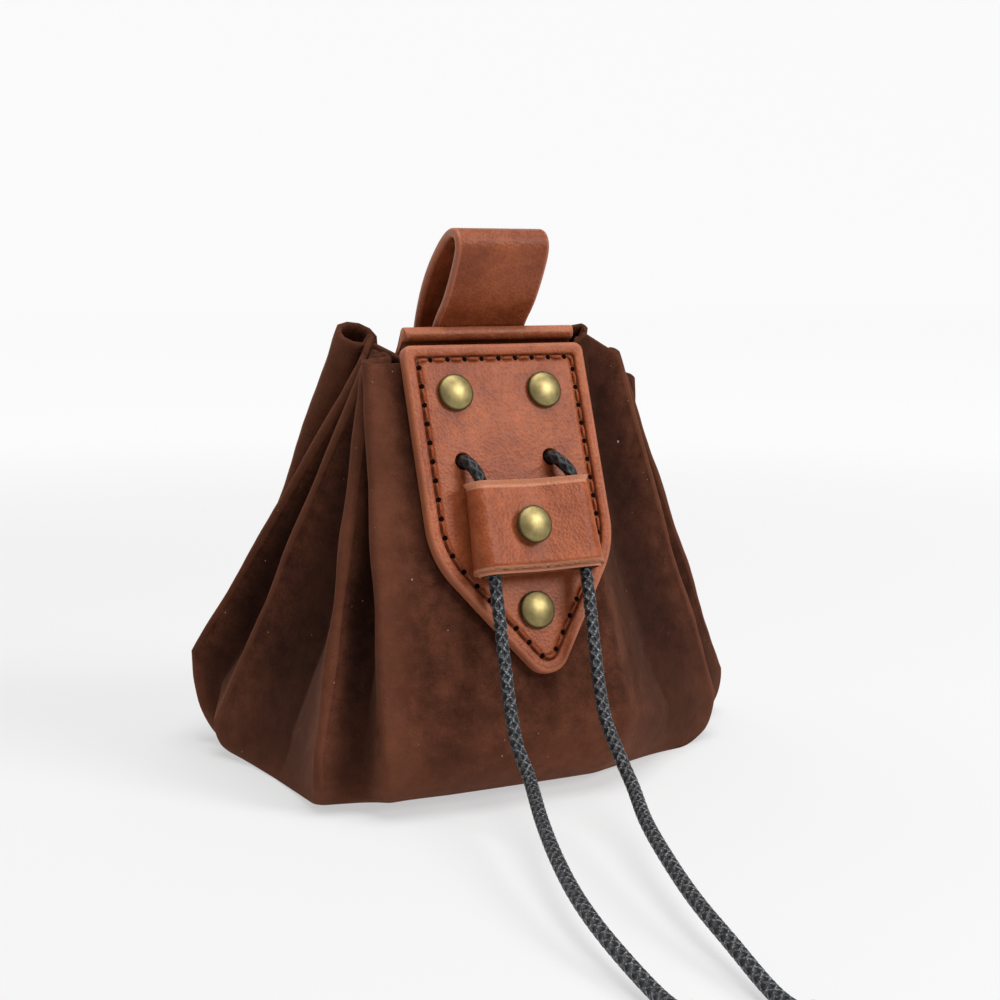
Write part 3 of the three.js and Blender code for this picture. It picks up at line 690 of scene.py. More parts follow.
@dataclass(frozen=True)
class CordFinish:
    """Black waxed braid with painted shade between its strands, and pale marks on the strand crests that are
    part worn wax and part painted highlight.
    """

    carriers: int = 4
    pitch: float = 2.5
    dark: Colour = (0.004, 0.0043, 0.005)
    middle: Colour = (0.021, 0.0225, 0.026)
    # pale is the colour of the worn wax and the painted highlights on the strand crests.
    pale: Colour = (0.34, 0.36, 0.39)

    def make(self) -> bpy.types.Material:
        """Builds the cord's material; the map holds the run in millimetres and the turn round the cord.

        Returns:
            The material.
        """
        paint = Paint("waxed_braid")
        at = paint.place()
        run, turn = paint.seam()
        right = (turn * (self.carriers * 2 * math.pi) + run * (2 * math.pi / self.pitch)).sin()
        left = (turn * (self.carriers * 2 * math.pi) - run * (2 * math.pi / self.pitch)).sin()
        plait = right.max(left)
        fibre = paint.noise(at, 0.22, 3, 0.7)
        # Painted shade: darker in the grooves between the strands.
        skin = paint.mix(plait.step(0.1, 0.95), self.dark, self.middle)
        # Worn wax and painted highlight: pale marks on the strand crests, none within 9 mm of the holes.
        wax_and_glints = paint.noise(at, 0.36, 3, 0.75).step(0.5, 0.62) * plait.step(0.35, 0.95)
        skin = paint.mix(wax_and_glints * run.step(9, 20) * 0.85, skin, self.pale)
        paint.put(Base_Color=skin, Roughness=0.5, Specular_IOR_Level=0.45)
        paint.bump(plait * 0.7 + fibre * 0.3, 0.18, 0.9)
        return paint.material


@dataclass(frozen=True)
class ThreadFinish:
    """Rust-orange waxed sewing thread, and the painted shade inside its needle holes."""

    name: str = "sewing_thread"
    colour: Colour = (0.36, 0.080, 0.022)
    rough: float = 0.6

    def make(self) -> bpy.types.Material:
        """Builds the thread's material.

        Returns:
            The material.
        """
        paint = Paint(self.name)
        strand = paint.noise(paint.place(), 0.25, 2, 0.6)
        dark = tuple(0.35 * c for c in self.colour)
        paint.put(Base_Color=paint.mix(strand.step(0.3, 0.7), dark, self.colour), Roughness=self.rough)
        paint.put(Specular_IOR_Level=0.5 - self.rough / 2)
        paint.bump(strand, 0.08, 0.6)
        return paint.material


def dress(piece: bpy.types.Object, material: bpy.types.Material, look: Look, *nodes: str) -> bpy.types.Object:
    """Gives a piece its material, and lets it ride and stand for its nodes.

    Args:
        piece: The piece.
        material: Its material.
        look: Not used; the finish, which names the record's slot.
        nodes: CAD nodes that it stands for.

    Returns:
        The same piece.
    """
    piece.data.materials.clear()
    piece.data.materials.append(material)
    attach(piece, "root")
    if nodes:
        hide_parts(*nodes)
    LOG.info("made %s", piece.name)
    return piece


@dataclass(frozen=True)
class Crease:
    """One pleat of the bag: its place at the rim, hip and foot, and the valley after it."""

    side: int
    out: float
    stack: float
    rise: float
    hip: tuple[float, float, float]
    foot: tuple[float, float]
    dips: tuple[float, float, float]
    roll: float = 1.0


@dataclass
class PleatedBody:
    """Suede bag: creases run straight from the neck to the hip, then the wall rolls under to the base."""

    height: float = 92.0
    width: float = 124.0
    depth: float = 96.0
    base_centre: tuple[float, float] = (9.0, -3.0)
    reach: float = 10.0
    hip_height: float = 15.0
    foot_radius: float = 3.5
    front_half: float = 21.6
    back_middle: float = 3.6
    back_half: float = 20.6
    front_rim: float = 0.985
    back_rim: float = 1.0
    rim_tilt: float = 0.55
    valley_rise: float = 0.025
    valley_share: float = 0.22
    valley_fill: float = 0.85
    valley_widest: float = 2.2
    panel_valley: float = 12.0
    panel_inset: float = 5.0
    panel_corner: float = 9.0
    front_foot: float = 0.448
    hollow_inset: float = 3.0
    levels: int = 56
    roll_levels: int = 22
    arc: int = 9
    span: int = 9
    swell: tuple[float, float] = (0.34, 0.04)
    calm_front: tuple[float, float, float] = (26.0, 20.0, -18.0)
    calm_back: tuple[float, float, float] = (24.0, 60.0, -21.0)
    floor_fade: tuple[float, float] = (0.4, 3.0)
    rim_fade: tuple[float, float] = (5.0, 96.0)
    creases: tuple[Crease, ...] = (
        Crease(1, 1.0, 0, 1.0, (0.83, -0.39, 0.7), (0.62, -0.45), (0.45, 0.75, 0.35)),
        Crease(1, 1.42, 1.1, 0.945, (1.07, -0.01, 0.75), (0.93, 0.0), (0.6, 0.55, 0.25)),
        Crease(1, 1.95, 2.6, 0.93, (0.97, 0.5, 1.1), (0.82, 0.42), (0.34, 0.55, 0.3)),
        Crease(1, 1.0, 4.2, 1.055, (0.62, 0.88, 1.2), (0.52, 0.72), (0, 0, 0)),
        Crease(1, 0.31, 5.2, 1.04, (0.38, 0.94, 1.2), (0.3, 0.72), (0, 0, 0)),
        Crease(-1, -0.1, 5.2, 1.02, (-0.5, 0.94, 1.2), (-0.46, 0.74), (0, 0, 0)),
        Crease(-1, 0.52, 4.6, 1.045, (-0.68, 0.95, 1.6), (-0.56, 0.76), (0.4, 0.6, 0.3), 3.2),
        Crease(-1, 0.32, 3, 0.985, (-0.93, 0.68, 1.45), (-0.76, 0.55), (0.28, 0.8, 0.5)),
        Crease(-1, 0.43, 2, 0.97, (-0.92, 0.38, 0.55), (-0.8, 0.3), (0.36, 0.95, 0.7)),
        Crease(-1, 0.56, 1, 0.965, (-0.87, -0.72, 0.85), (-0.78, -0.5), (0.45, 0.75, 0.45)),
        Crease(-1, 0.67, 0, 0.985, (-0.7, -0.93, 0.9), (-0.56, -0.54), (0, 0, 0)),
    )
    pegs: dict[str, Array] = field(default_factory=dict)

    def __post_init__(self) -> None:
        """Lays out the pegs that the outline wraps, from the front right round the back to the front left."""
        right = [self._crease(row) for row in self.creases if row.side > 0]
        left = [self._crease(row) for row in self.creases if row.side < 0]
        rows = [self._corner(1), *right, self._hollow(self.back_edges[1], right[-1])]
        rows += [self._hollow(self.back_edges[0], left[0]), *left, self._corner(-1)]
        self.pegs = {key: np.array([row[key] for row in rows], dtype=float) for key in rows[0]}

    @property
    def back_edges(self) -> tuple[float, float]:
        """X of the back panel's left and right edges at the rim."""
        return self.back_middle - self.back_half, self.back_middle + self.back_half

    def _crease(self, row: Crease) -> dict[str, object]:
        """Peg of one crease."""
        edge = self.back_edges[1] if row.side > 0 else FITS.front_left
        wide = row.roll * FITS.fold
        cx, cy = self.base_centre
        return {
            "rim": (edge + row.side * (row.out * self.reach - wide),
                    FITS.suede_front + wide + FITS.crease_gap / 2 + row.stack * FITS.pitch,
                    row.rise * self.height),
            "hip": (cx + row.hip[0] * self.width / 2, cy + row.hip[1] * self.depth / 2,
                    row.hip[2] * self.hip_height),
            "foot": (cx + row.foot[0] * self.width / 2, cy + row.foot[1] * self.depth / 2),
            "turn": 1, "radii": (wide, FITS.fold, self.foot_radius), "dips": row.dips, "side": row.side,
        }

    def _corner(self, side: int) -> dict[str, object]:
        """Peg of a corner of the flat front panel."""
        x, z = side * (self.front_half - self.panel_inset), self.front_rim * self.height
        return {
            "rim": (x, FITS.front_y(z) + FITS.fold, z),
            "hip": (x, FITS.front_y(self.hip_height) + self.panel_corner, self.hip_height),
            "foot": (x, self.base_centre[1] - self.front_foot * self.depth / 2),
            "turn": 1, "radii": (FITS.fold, self.panel_corner, self.panel_corner),
            "dips": (0.02, 0.4, 0.15) if side > 0 else (0, 0, 0), "side": 0,
        }

    def _hollow(self, x: float, beside: dict) -> dict[str, object]:
        """Peg of a hollow where the back panel leaves the back plate.

        Args:
            x: X of the hollow at the rim.
            beside: Peg of the crease beside it; the hollow's foot is set in from that crease's foot.

        Returns:
            The peg.
        """
        z = self.back_rim * self.height
        return {
            "rim": (x, FITS.back_y(z) + FITS.gap, z),
            "hip": (x, FITS.back_y(self.hip_height) + FITS.gap, self.hip_height),
            "foot": (beside["foot"][0] - beside["side"] * self.hollow_inset,
                     beside["foot"][1] - self.hollow_inset),
            "turn": -1, "radii": (FITS.gap,) * 3, "dips": (0, 0, 0), "side": 0,
        }

    def _levels(self, share: Array, roll: Array) -> dict[str, Array]:
        """Pegs at every level, with a valley peg between neighbouring creases.

        Args:
            share: From 0 at the hip to 1 at the rim, one value per level.
            roll: Angle of the roll under the bag in radians, one value per level.

        Returns:
            Arrays of levels by pegs: x, y, z, turn and radius.
        """
        s, over = share[:, None], np.cos(roll)[:, None]
        rim, hip, foot, radii = (self.pegs[key] for key in ("rim", "hip", "foot", "radii"))
        x, y = (foot[:, k] + (hip[:, k] + (rim[:, k] - hip[:, k]) * s - foot[:, k]) * over for k in (0, 1))
        z = (hip[:, 2] + (rim[:, 2] - hip[:, 2]) * s) * (1 - np.sin(roll)[:, None])
        radius = radii[:, 2] + (radii[:, 1] + (radii[:, 0] - radii[:, 1]) * s - radii[:, 2]) * over
        turn = np.broadcast_to(self.pegs["turn"], x.shape)
        tilt = np.broadcast_to(self.rim_tilt * s**6, x.shape)
        ring = {"x": x, "y": y, "z": z, "turn": turn, "radius": radius, "tilt": tilt}
        has = np.flatnonzero(self.pegs["dips"][:, 1] > 0)
        valley = self._valleys(ring, has, s, over)
        order = np.argsort(np.concatenate([np.arange(x.shape[1]), has + 0.5]))
        return {key: np.concatenate([ring[key], valley[key]], axis=1)[:, order] for key in ring}

    def _valleys(self, ring: dict[str, Array], has: Array, s: Array, over: Array) -> dict[str, Array]:
        """Valley pegs: square to the creases near the base, and straight in from the side near the mouth.

        Args:
            ring: Pegs of the creases, as levels by pegs.
            has: Indices of the creases that a valley follows.
            s: Share of the way from hip to rim, one row per level.
            over: Cosine of the roll, one row per level.

        Returns:
            The same values as ring, for the valleys.
        """
        nxt = (has + 1) % ring["x"].shape[1]
        ax, ay, ar = (ring[key][:, has] for key in ("x", "y", "radius"))
        bx, by, br = (ring[key][:, nxt] for key in ("x", "y", "radius"))
        dx, dy = bx - ax, by - ay
        chord = np.hypot(dx, dy)
        angle = np.arctan2(dy, dx) + np.arcsin((ar - br) / chord)
        side = self.pegs["side"][has]
        blend = s * np.abs(side)
        ox, oy = np.sin(angle) * (1 - blend) + side * blend, -np.cos(angle) * (1 - blend)
        size = np.hypot(ox, oy)
        ox, oy = ox / size, oy / size
        rim, mid, hip = (self.pegs["dips"][has, k] for k in range(3))
        dip = hip * (1 - s) ** 2 + 2 * (2 * mid - (hip + rim) / 2) * s * (1 - s) + rim * s**2
        depth = np.maximum(dip * self.reach * over**2, FITS.crease_gap / 2)
        across = np.abs(dx * oy - dy * ox) / 2
        largest = np.maximum(ar, br)
        limit = np.where(side == 0, self.panel_valley, self.valley_widest)
        widest = np.minimum(limit, np.minimum(self.valley_share * chord, across - largest))
        lift = (ar + br) / 2 + widest - depth - np.abs(dx * ox + dy * oy) / 2 * s
        cx, cy = (ax + bx) / 2 + ox * lift, (ay + by) / 2 + oy * lift
        room = np.minimum(np.hypot(cx - ax, cy - ay) - ar, np.hypot(cx - bx, cy - by) - br)
        return {
            "x": cx, "y": cy,
            "z": (ring["z"][:, has] + ring["z"][:, nxt]) / 2 + self.valley_rise * self.height * s**4,
            "turn": np.full_like(cx, -1), "radius": np.minimum(widest, self.valley_fill * room),
            "tilt": np.broadcast_to(self.rim_tilt * s**6, cx.shape),
        }

    def fold_map(self, share: Array, roll: Array) -> Array:
        """Map of the folds: 1 on a crease and 0 in a valley, with the depth that the fold's shade keeps there.

        Args:
            share: From 0 at the hip to 1 at the rim, one value per level.
            roll: Angle of the roll under the bag, one value per level.

        Returns:
            Two map values per point of the skin.
        """
        ring = self._levels(share, roll)
        crest = (ring["turn"] > 0) * 1.0
        crest[:, [0, -1]] = 0.9
        hollow = (ring["turn"][:1] < 0) & (ring["radius"][:1] == FITS.gap)
        crest = np.where(hollow, 0.9, crest)
        fold = joined(np.repeat(crest[..., None, None], self.arc, axis=2), self.span)[..., 0]
        keep = (smoothstep(0, 0.25, share) * 0.2 + 0.8) * np.cos(roll) ** 1.5
        keep *= 1 - 0.4 * smoothstep(0.85, 1, share)
        return seam_map(fold, keep[:, None], fold.shape)

    def skin(self, share: Array, roll: Array, inset: float) -> Array:
        """One skin of the suede: at each level, arcs round the pegs joined by straight walls.

        Args:
            share: From 0 at the hip to 1 at the rim, one value per level.
            roll: Angle of the roll under the bag, one value per level.
            inset: Distance in from the outside of the suede.

        Returns:
            Points as levels by places round the bag.
        """
        ring = self._levels(share, roll)
        reach = ring["turn"] * ring["radius"] - inset
        angle = bends(ring["x"], ring["y"], reach, ring["turn"], self.arc)
        arcs = np.stack([
            ring["x"][..., None] + reach[..., None] * np.sin(angle),
            ring["y"][..., None] - reach[..., None] * np.cos(angle),
            ring["z"][..., None] - (ring["tilt"] * reach)[..., None] * np.cos(angle),
        ], axis=-1)
        points = joined(arcs, self.span)
        points[..., 2] += inset * np.maximum(0, 1 - points[..., 2] / self.hip_height)
        return points

    def _relief(self, points: Array) -> Array:
        """Skin with the soft unevenness of hand-gathered suede, none of it behind the plates."""
        along = np.gradient(points, axis=0)
        round_ = np.roll(points, -1, 1) - np.roll(points, 1, 1)
        normal = np.cross(round_, along)
        normal /= np.maximum(np.linalg.norm(normal, axis=-1, keepdims=True), 1e-9)
        large, small = self.swell
        height = large * ripple(points, (16, 40), 16, 3) + small * ripple(points, (5, 10), 18, 5)
        x, y, z = (points[..., k] for k in range(3))
        half, low, near = self.calm_front
        plate = (np.abs(x) < half) & (z > low) & (y < near)
        half, low, near = self.calm_back
        back = (np.abs(x - self.back_middle) < half) & (z > low) & (y > near)
        free = 1.0 - (plate | back)
        free *= smoothstep(*self.floor_fade, z) * smoothstep(0, self.rim_fade[0], self.rim_fade[1] - z)
        return points + normal * (height * free)[..., None]

    def make(self, material: bpy.types.Material) -> bpy.types.Object:
        """Builds the bag as one closed shell: outside, rim, inside and base.

        Args:
            material: Its material.

        Returns:
            The piece.
        """
        down = np.linspace(1, 0, self.levels)
        roll = np.linspace(0, math.pi / 2, self.roll_levels + 1)[1:]
        share, turn = np.concatenate([down, 0 * roll]), np.concatenate([0 * down, roll])
        outer = self._relief(self.skin(share, turn, 0.0))
        keep = np.unique(np.concatenate([[0, 1, 2], np.arange(0, len(share), 4), [len(share) - 1]]))
        inner = self.skin(share[keep], turn[keep], FITS.suede)[::-1]
        lip = ((0.2, 0.22), (0.5, 0.32), (0.8, 0.22))
        edge = [inner[-1] + (outer[0] - inner[-1]) * t + (0, 0, lift) for t, lift in lip]
        grid = np.concatenate([inner, np.array(edge), outer])
        rows, cols = grid.shape[:2]
        cx, cy = self.base_centre
        points = np.vstack([grid.reshape(-1, 3), (cx, cy, FITS.suede), (cx, cy, 0.0)])
        faces = tube_faces(rows, cols)
        plain = np.tile((1.0, 0.0), ((len(inner) + len(edge)) * cols, 1))
        uv = np.vstack([plain, self.fold_map(share, turn), (1, 0), (1, 0)])
        return dress(make_piece("suede_body", points, faces, uv), material, Look.SUEDE, "pouch_body")


def rounded_outline(
    corners: Sequence[tuple[float, float, float]], arc: int, span: int, inset: float = 0.0
) -> Array:
    """Closed outline with rounded corners: an arc at each corner, then a straight run to the next.

    Args:
        corners: x, y and radius of each corner, anticlockwise.
        arc: Points in each arc.
        span: Points in each straight run.
        inset: Distance in from the outline.

    Returns:
        Points of the outline.
    """
    at = np.array([c[:2] for c in corners], dtype=float)
    radius = np.array([c[2] for c in corners], dtype=float)[:, None]
    radius = np.maximum(radius - inset, 0.8) if inset else radius
    back, on = unit(np.roll(at, 1, 0) - at), unit(np.roll(at, -1, 0) - at)
    half = np.arccos(np.clip((back * on).sum(1), -1, 1))[:, None] / 2
    centre = at + unit(back + on) * (radius + inset) / np.sin(half)
    first = np.column_stack([-back[:, 1], back[:, 0]]) * radius
    angle = (math.pi - 2 * half) * np.linspace(0, 1, arc)
    cos, sin = np.cos(angle), np.sin(angle)
    arcs = np.stack([first[:, :1] * cos - first[:, 1:] * sin, first[:, :1] * sin + first[:, 1:] * cos], axis=-1)
    return joined(arcs + centre[:, None, :], span)


@dataclass
class FrontPlate:
    """Leather plate with a raised rim, a sewn groove inside it and two holes for the cord."""

    shoulder: float = 45.5
    point: tuple[float, float] = (2.0, 74.8)
    radii: tuple[float, float, float] = (2.0, 20.0, 5.4)
    recess: float = 0.5
    hole_spacing: float = 20.8
    hole_shift: float = -0.6
    hole_drop: float = 25.3
    hole_radius: float = 1.75
    stitch_inset: float = 3.3
    stitch_pitch: float = 4.0
    thread_radius: float = 0.34
    thread_rise: float = 0.34
    thread_sunk: float = 0.12
    thread_half: float = 0.36
    rivets: tuple[tuple[str, float, float], ...] = (
        ("upper_left", -10.6, 10.6), ("upper_right", 10.6, 10.6), ("lower", 0.6, 57.8),
    )
    profile: tuple[tuple[float, float], ...] = (
        (6, -2.8), (2, -2.8), (0.6, -2.8), (0.18, -2.68), (0.02, -2.4), (0, -2.1), (0, -1.5), (0, -0.9),
        (0.04, -0.6), (0.16, -0.33), (0.4, -0.12), (0.75, -0.02), (1.2, 0), (1.7, -0.01), (2.1, -0.07),
        (2.35, -0.2), (2.5, -0.45), (2.62, -0.72), (2.8, -0.78), (3.0, -0.66), (3.4, -0.55), (4.2, -0.5),
        (6, -0.5), (9, -0.5),
    )
    hole_profile: tuple[tuple[float, float], ...] = ((0, -4), (0, -0.75), (0.2, -0.5), (0.6, -0.35), (2.5, 1.5))
    needle_profile: tuple[tuple[float, float], ...] = ((0.54, -0.97), (0.54, -0.52), (0.36, -0.47))

    def outline(self, inset: float) -> Array:
        """The plate's outline set in from its edge."""
        left, right = FITS.front_left, FITS.plate_shift + FITS.plate_width / 2
        top, side, tip = self.radii
        corners = [
            (right, 0, top), (left, 0, top), (left, -self.shoulder, side),
            (self.point[0], -self.point[1], tip), (right, -self.shoulder, side),
        ]
        return rounded_outline(corners, 18, 24, inset)

    def seam_run(self) -> tuple[Array, float]:
        """Run along the stitch line at each point of the outline, and the pitch that fits it."""
        line = self.outline(self.stitch_inset)
        steps = np.linalg.norm(np.roll(line, -1, 0) - line, axis=1)
        run = np.concatenate([[0], np.cumsum(steps)])
        return run, run[-1] / round(run[-1] / self.stitch_pitch)

    def on_seam(self, at: Array) -> tuple[Array, Array]:
        """x and y on the plate of places this far along the stitch line."""
        run, _ = self.seam_run()
        line = self.outline(self.stitch_inset)
        closed = np.vstack([line, line[:1]])
        return np.interp(at % run[-1], run, closed[:, 0]), np.interp(at % run[-1], run, closed[:, 1])

    def make(self, material: bpy.types.Material) -> bpy.types.Object:
        """Builds the plate: outlines at growing insets, each at its own height, closed front and back.

        Args:
            material: Its material.

        Returns:
            The piece.
        """
        run, _ = self.seam_run()
        rows, cols = len(self.profile), len(run) - 1
        grid = np.concatenate([
            np.column_stack([self.outline(inset), np.full(cols, height)]) for inset, height in self.profile
        ])
        points = np.vstack([grid, (0, -30, -FITS.plate_thickness), (0, -30, -self.recess)])
        uv = seam_map(run[:-1], np.array(self.profile)[:, :1], (rows, cols))
        uv = np.vstack([uv, (0, 15), (0, 15)])
        faces = tube_faces(rows, cols)
        piece = make_piece("plate_front", placed(FRONT, points), faces, uv)
        self._pierce(piece)
        return dress(piece, material, Look.LEATHER, "front_plate")

    def _pierce(self, piece: bpy.types.Object) -> None:
        """Cuts the two cord holes with soft edges."""
        for side in (-1, 1):
            x = self.hole_shift + side * self.hole_spacing / 2
            profile = np.array([(self.hole_radius + wider, height) for wider, height in self.hole_profile])
            points = turned(profile, 32, x, -self.hole_drop)
            uv = np.tile((0.0, 15.0), (len(points), 1))
            cutter = make_piece("cutter", placed(FRONT, points), tube_faces(len(profile), 32), uv)
            modifier = piece.modifiers.new("hole", "BOOLEAN")
            modifier.operation, modifier.solver, modifier.object = "DIFFERENCE", "EXACT", cutter
            settle(piece)
            bpy.data.objects.remove(cutter)

    def stitches(self, material: bpy.types.Material) -> bpy.types.Object:
        """Sewing thread: one low arched capsule from each needle hole towards the next.

        Args:
            material: Its material.

        Returns:
            The piece.
        """
        run, pitch = self.seam_run()
        count = round(run[-1] / pitch)
        t = np.linspace(-1, 1, 9)
        x, y = self.on_seam((np.arange(count)[:, None] + 1.0) * pitch + t * self.thread_half * pitch)
        arch = self.thread_rise * np.broadcast_to(1 - t**2, x.shape)
        centre = np.stack([x, y, -self.recess - self.thread_sunk + arch], axis=-1)
        way = unit(np.gradient(centre, axis=1))
        side = unit(np.cross(way, (0.0, 0.0, 1.0)))
        up = np.cross(side, way)
        angle = turns(8)
        radius = (self.thread_radius * np.sqrt(np.maximum(1 - t**4, 0.02)))[None, :, None, None]
        rings = side[:, :, None, :] * np.cos(angle)[:, None] + up[:, :, None, :] * np.sin(angle)[:, None]
        points = centre[:, :, None, :] + rings * radius
        one = quads(9, 8, False, True)
        caps = np.array([[0, 1, 2, 3], [0, 3, 4, 7], [4, 5, 6, 7]])
        one = np.vstack([one, caps[:, ::-1], caps + 64])
        flat, faces = stack_pieces((points[k].reshape(-1, 3), one) for k in range(count))
        return dress(make_piece("plate_stitching", placed(FRONT, flat), [faces]), material, Look.LEATHER)

    def needle_holes(self, material: bpy.types.Material) -> bpy.types.Object:
        """Painted shade of the needle holes: one low dimpled dark disc where each stitch goes down.

        Args:
            material: Its material.

        Returns:
            The piece.
        """
        run, pitch = self.seam_run()
        x, y = self.on_seam((np.arange(round(run[-1] / pitch)) + 0.5) * pitch)
        one = turned(np.array(self.needle_profile), 12)
        sides, ends = tube_faces(len(self.needle_profile), 12)
        centre = np.column_stack([x, y, np.zeros(len(x))])
        flat, sides = stack_pieces((one + c, sides) for c in centre)
        _, ends = stack_pieces((one + c, ends) for c in centre)
        piece = make_piece("plate_needle_holes", placed(FRONT, flat), [sides, ends])
        return dress(piece, material, Look.LEATHER)


SHARP_FROM = math.radians(32)


def settle(piece: bpy.types.Object) -> None:
    """Applies a piece's modifiers to its mesh and keeps its corners crisp."""
    graph = bpy.context.evaluated_depsgraph_get()
    made = bpy.data.meshes.new_from_object(piece.evaluated_get(graph))
    old = piece.data
    piece.modifiers.clear()
    piece.data = made
    made.set_sharp_from_angle(angle=SHARP_FROM)
    bpy.data.meshes.remove(old)


def strap(
    path: Array, across: Array, width: float, thickness: float, centre_x: float
) -> tuple[Array, list[Array], Array]:
    """Strap with rounded edges: a rounded rectangle carried along a path in the plane X = 0.

    Args:
        path: Middle of the strap as points of Y and Z.
        across: Share of the full thickness at each point.
        width: Width of the strap along X.
        thickness: Full thickness.
        centre_x: X of the strap's middle.

    Returns:
        Points, faces and the map of run along the strap and distance in from its edges.
    """
    way = unit(np.gradient(path, axis=0))
    normal = np.column_stack([-way[:, 1], way[:, 0]])
    half, edge = width / 2, thickness * 0.42
    section = rounded_outline([(half, thickness / 2, edge), (-half, thickness / 2, edge),
                               (-half, -thickness / 2, edge), (half, -thickness / 2, edge)], 6, 12)
    out = section[None, :, 1] * across[:, None]
    points = np.stack([
        np.broadcast_to(centre_x + section[:, 0], out.shape),
        path[:, :1] + normal[:, :1] * out,
        path[:, 1:] + normal[:, 1:] * out,
    ], axis=-1)
    rows, cols = points.shape[:2]
    run = run_along(path)
    inset = half - np.abs(section[:, 0])
    ends = [points[k].mean(axis=0) for k in (0, -1)]
    flat = np.vstack([points.reshape(-1, 3), *ends])
    uv = np.vstack([seam_map(run[:, None], inset, out.shape), (0, 0), (run[-1], 0)])
    return flat, tube_faces(rows, cols), uv


@dataclass
class BackPlateAndLoop:
    """Plate behind the neck with a rolled top edge, and the belt loop riveted on it."""

    plate_width: float = 41.2
    plate_length: float = 36.0
    plate_thickness: float = 2.0
    roll: float = 3.2
    shift: float = 3.6
    loop_width: float = 22.2
    loop_thickness: float = 2.0
    loop_rise: float = 22.2
    loop_tail: float = 32.0
    loop_shift: float = 2.5
    rivet_drop: float = 26.0
    arch: tuple[tuple[float, float], ...] = (
        (-0.02, 0.02), (-0.19, 0.2), (-0.36, 0.46), (-0.46, 0.68), (-0.42, 0.81), (-0.28, 0.83),
        (-0.08, 0.72), (0.16, 0.5), (0.34, 0.25), (0.48, -0.06), (0.54, -0.34),
    )

    def tail_face(self) -> float:
        """Distance of the first tail's near face from the plate's near face."""
        return self.plate_thickness / 2 + self.roll / 2 + FITS.gap

    def on_back(self, up: float, out: float) -> Array:
        """Y and Z of a place behind the back plate."""
        return placed(BACK, np.array([0.0, up, out]))[1:]

    def make_plate(self, material: bpy.types.Material) -> bpy.types.Object:
        """Builds the plate from its side profile, a flat sheet that ends in a round roll, with soft sides.

        Args:
            material: Its material.

        Returns:
            The piece.
        """
        middle, radius = self.plate_thickness / 2, self.roll / 2
        dip = math.asin(middle / radius)
        angle = np.linspace(math.pi + dip, 3 * math.pi - dip, 25)
        curl = np.column_stack([-radius + radius * np.cos(angle), middle + radius * np.sin(angle)])
        sheet = np.linspace(curl[0, 0], -self.plate_length, 13)[1:]
        low = np.column_stack([sheet[::-1], np.zeros(12)])
        high = np.column_stack([sheet, np.full(12, self.plate_thickness)])
        profile = np.vstack([low, curl, high])
        ends = ((0.0, 0.75), (0.06, 0.87), (0.2, 0.96), (0.45, 1.0), (1.2, 1.0))
        half = self.plate_width / 2
        across = [(-half + d, k) for d, k in ends] + [(x, 1.0) for x in np.linspace(-half + 3, half - 3, 12)]
        across += [(half - d, k) for d, k in reversed(ends)]
        centre = np.column_stack([profile[:, 0], np.full(len(profile), middle)])
        grid = np.stack([
            np.column_stack([np.full(len(profile), x - self.shift), centre + (profile - centre) * (1, k)])
            for x, k in across
        ])
        rows, cols = grid.shape[:2]
        points = np.vstack([grid.reshape(-1, 3), grid[0].mean(0), grid[-1].mean(0)])
        from_side = half - np.abs([x for x, _ in across])[:, None]
        inset = np.minimum(from_side, np.maximum(-profile[:, 0], 0.0) + 0.3)
        uv = seam_map(profile[:, 0], inset, inset.shape)
        faces = tube_faces(rows, cols)
        piece = make_piece("plate_back", placed(BACK, points), faces, np.vstack([uv, (0, 0), (0, 0)]))
        return dress(piece, material, Look.LEATHER, "back_plate")

    def path(self) -> Array:
        """Middle of the strap: up the first tail, over the arch and down the second tail."""
        middle = self.tail_face() + self.loop_thickness / 2
        second = middle + self.loop_thickness + FITS.gap
        top = self.on_back(0, middle)
        first = [self.on_back(-self.loop_tail * t, middle) for t in (1, 0.8, 0.6, 0.4, 0.2, 0.05)]
        arch = [top + np.array(row) * self.loop_rise for row in self.arch]
        bend = spline(np.array([first[-1], *arch, self.on_back(-self.loop_tail * 0.6, second)]), False, 14)
        last = [self.on_back(-self.loop_tail * t, second) for t in (0.7, 0.8, 0.9, 1)]
        return spaced(np.vstack([first[:-1], bend, last]), 180)

    def make_loop(self, material: bpy.types.Material) -> bpy.types.Object:
        """Builds the strap, thinned softly at both ends.

        Args:
            material: Its material.

        Returns:
            The piece.
        """
        path = self.path()
        run = run_along(path)
        near_end = np.minimum(run, run[-1] - run)
        across = 0.6 + 0.4 * smoothstep(0, 0.9, near_end)
        points, faces, uv = strap(path, across, self.loop_width, self.loop_thickness, self.loop_shift)
        return dress(make_piece("strap_loop", points, faces, uv), material, Look.LEATHER, "belt_loop")


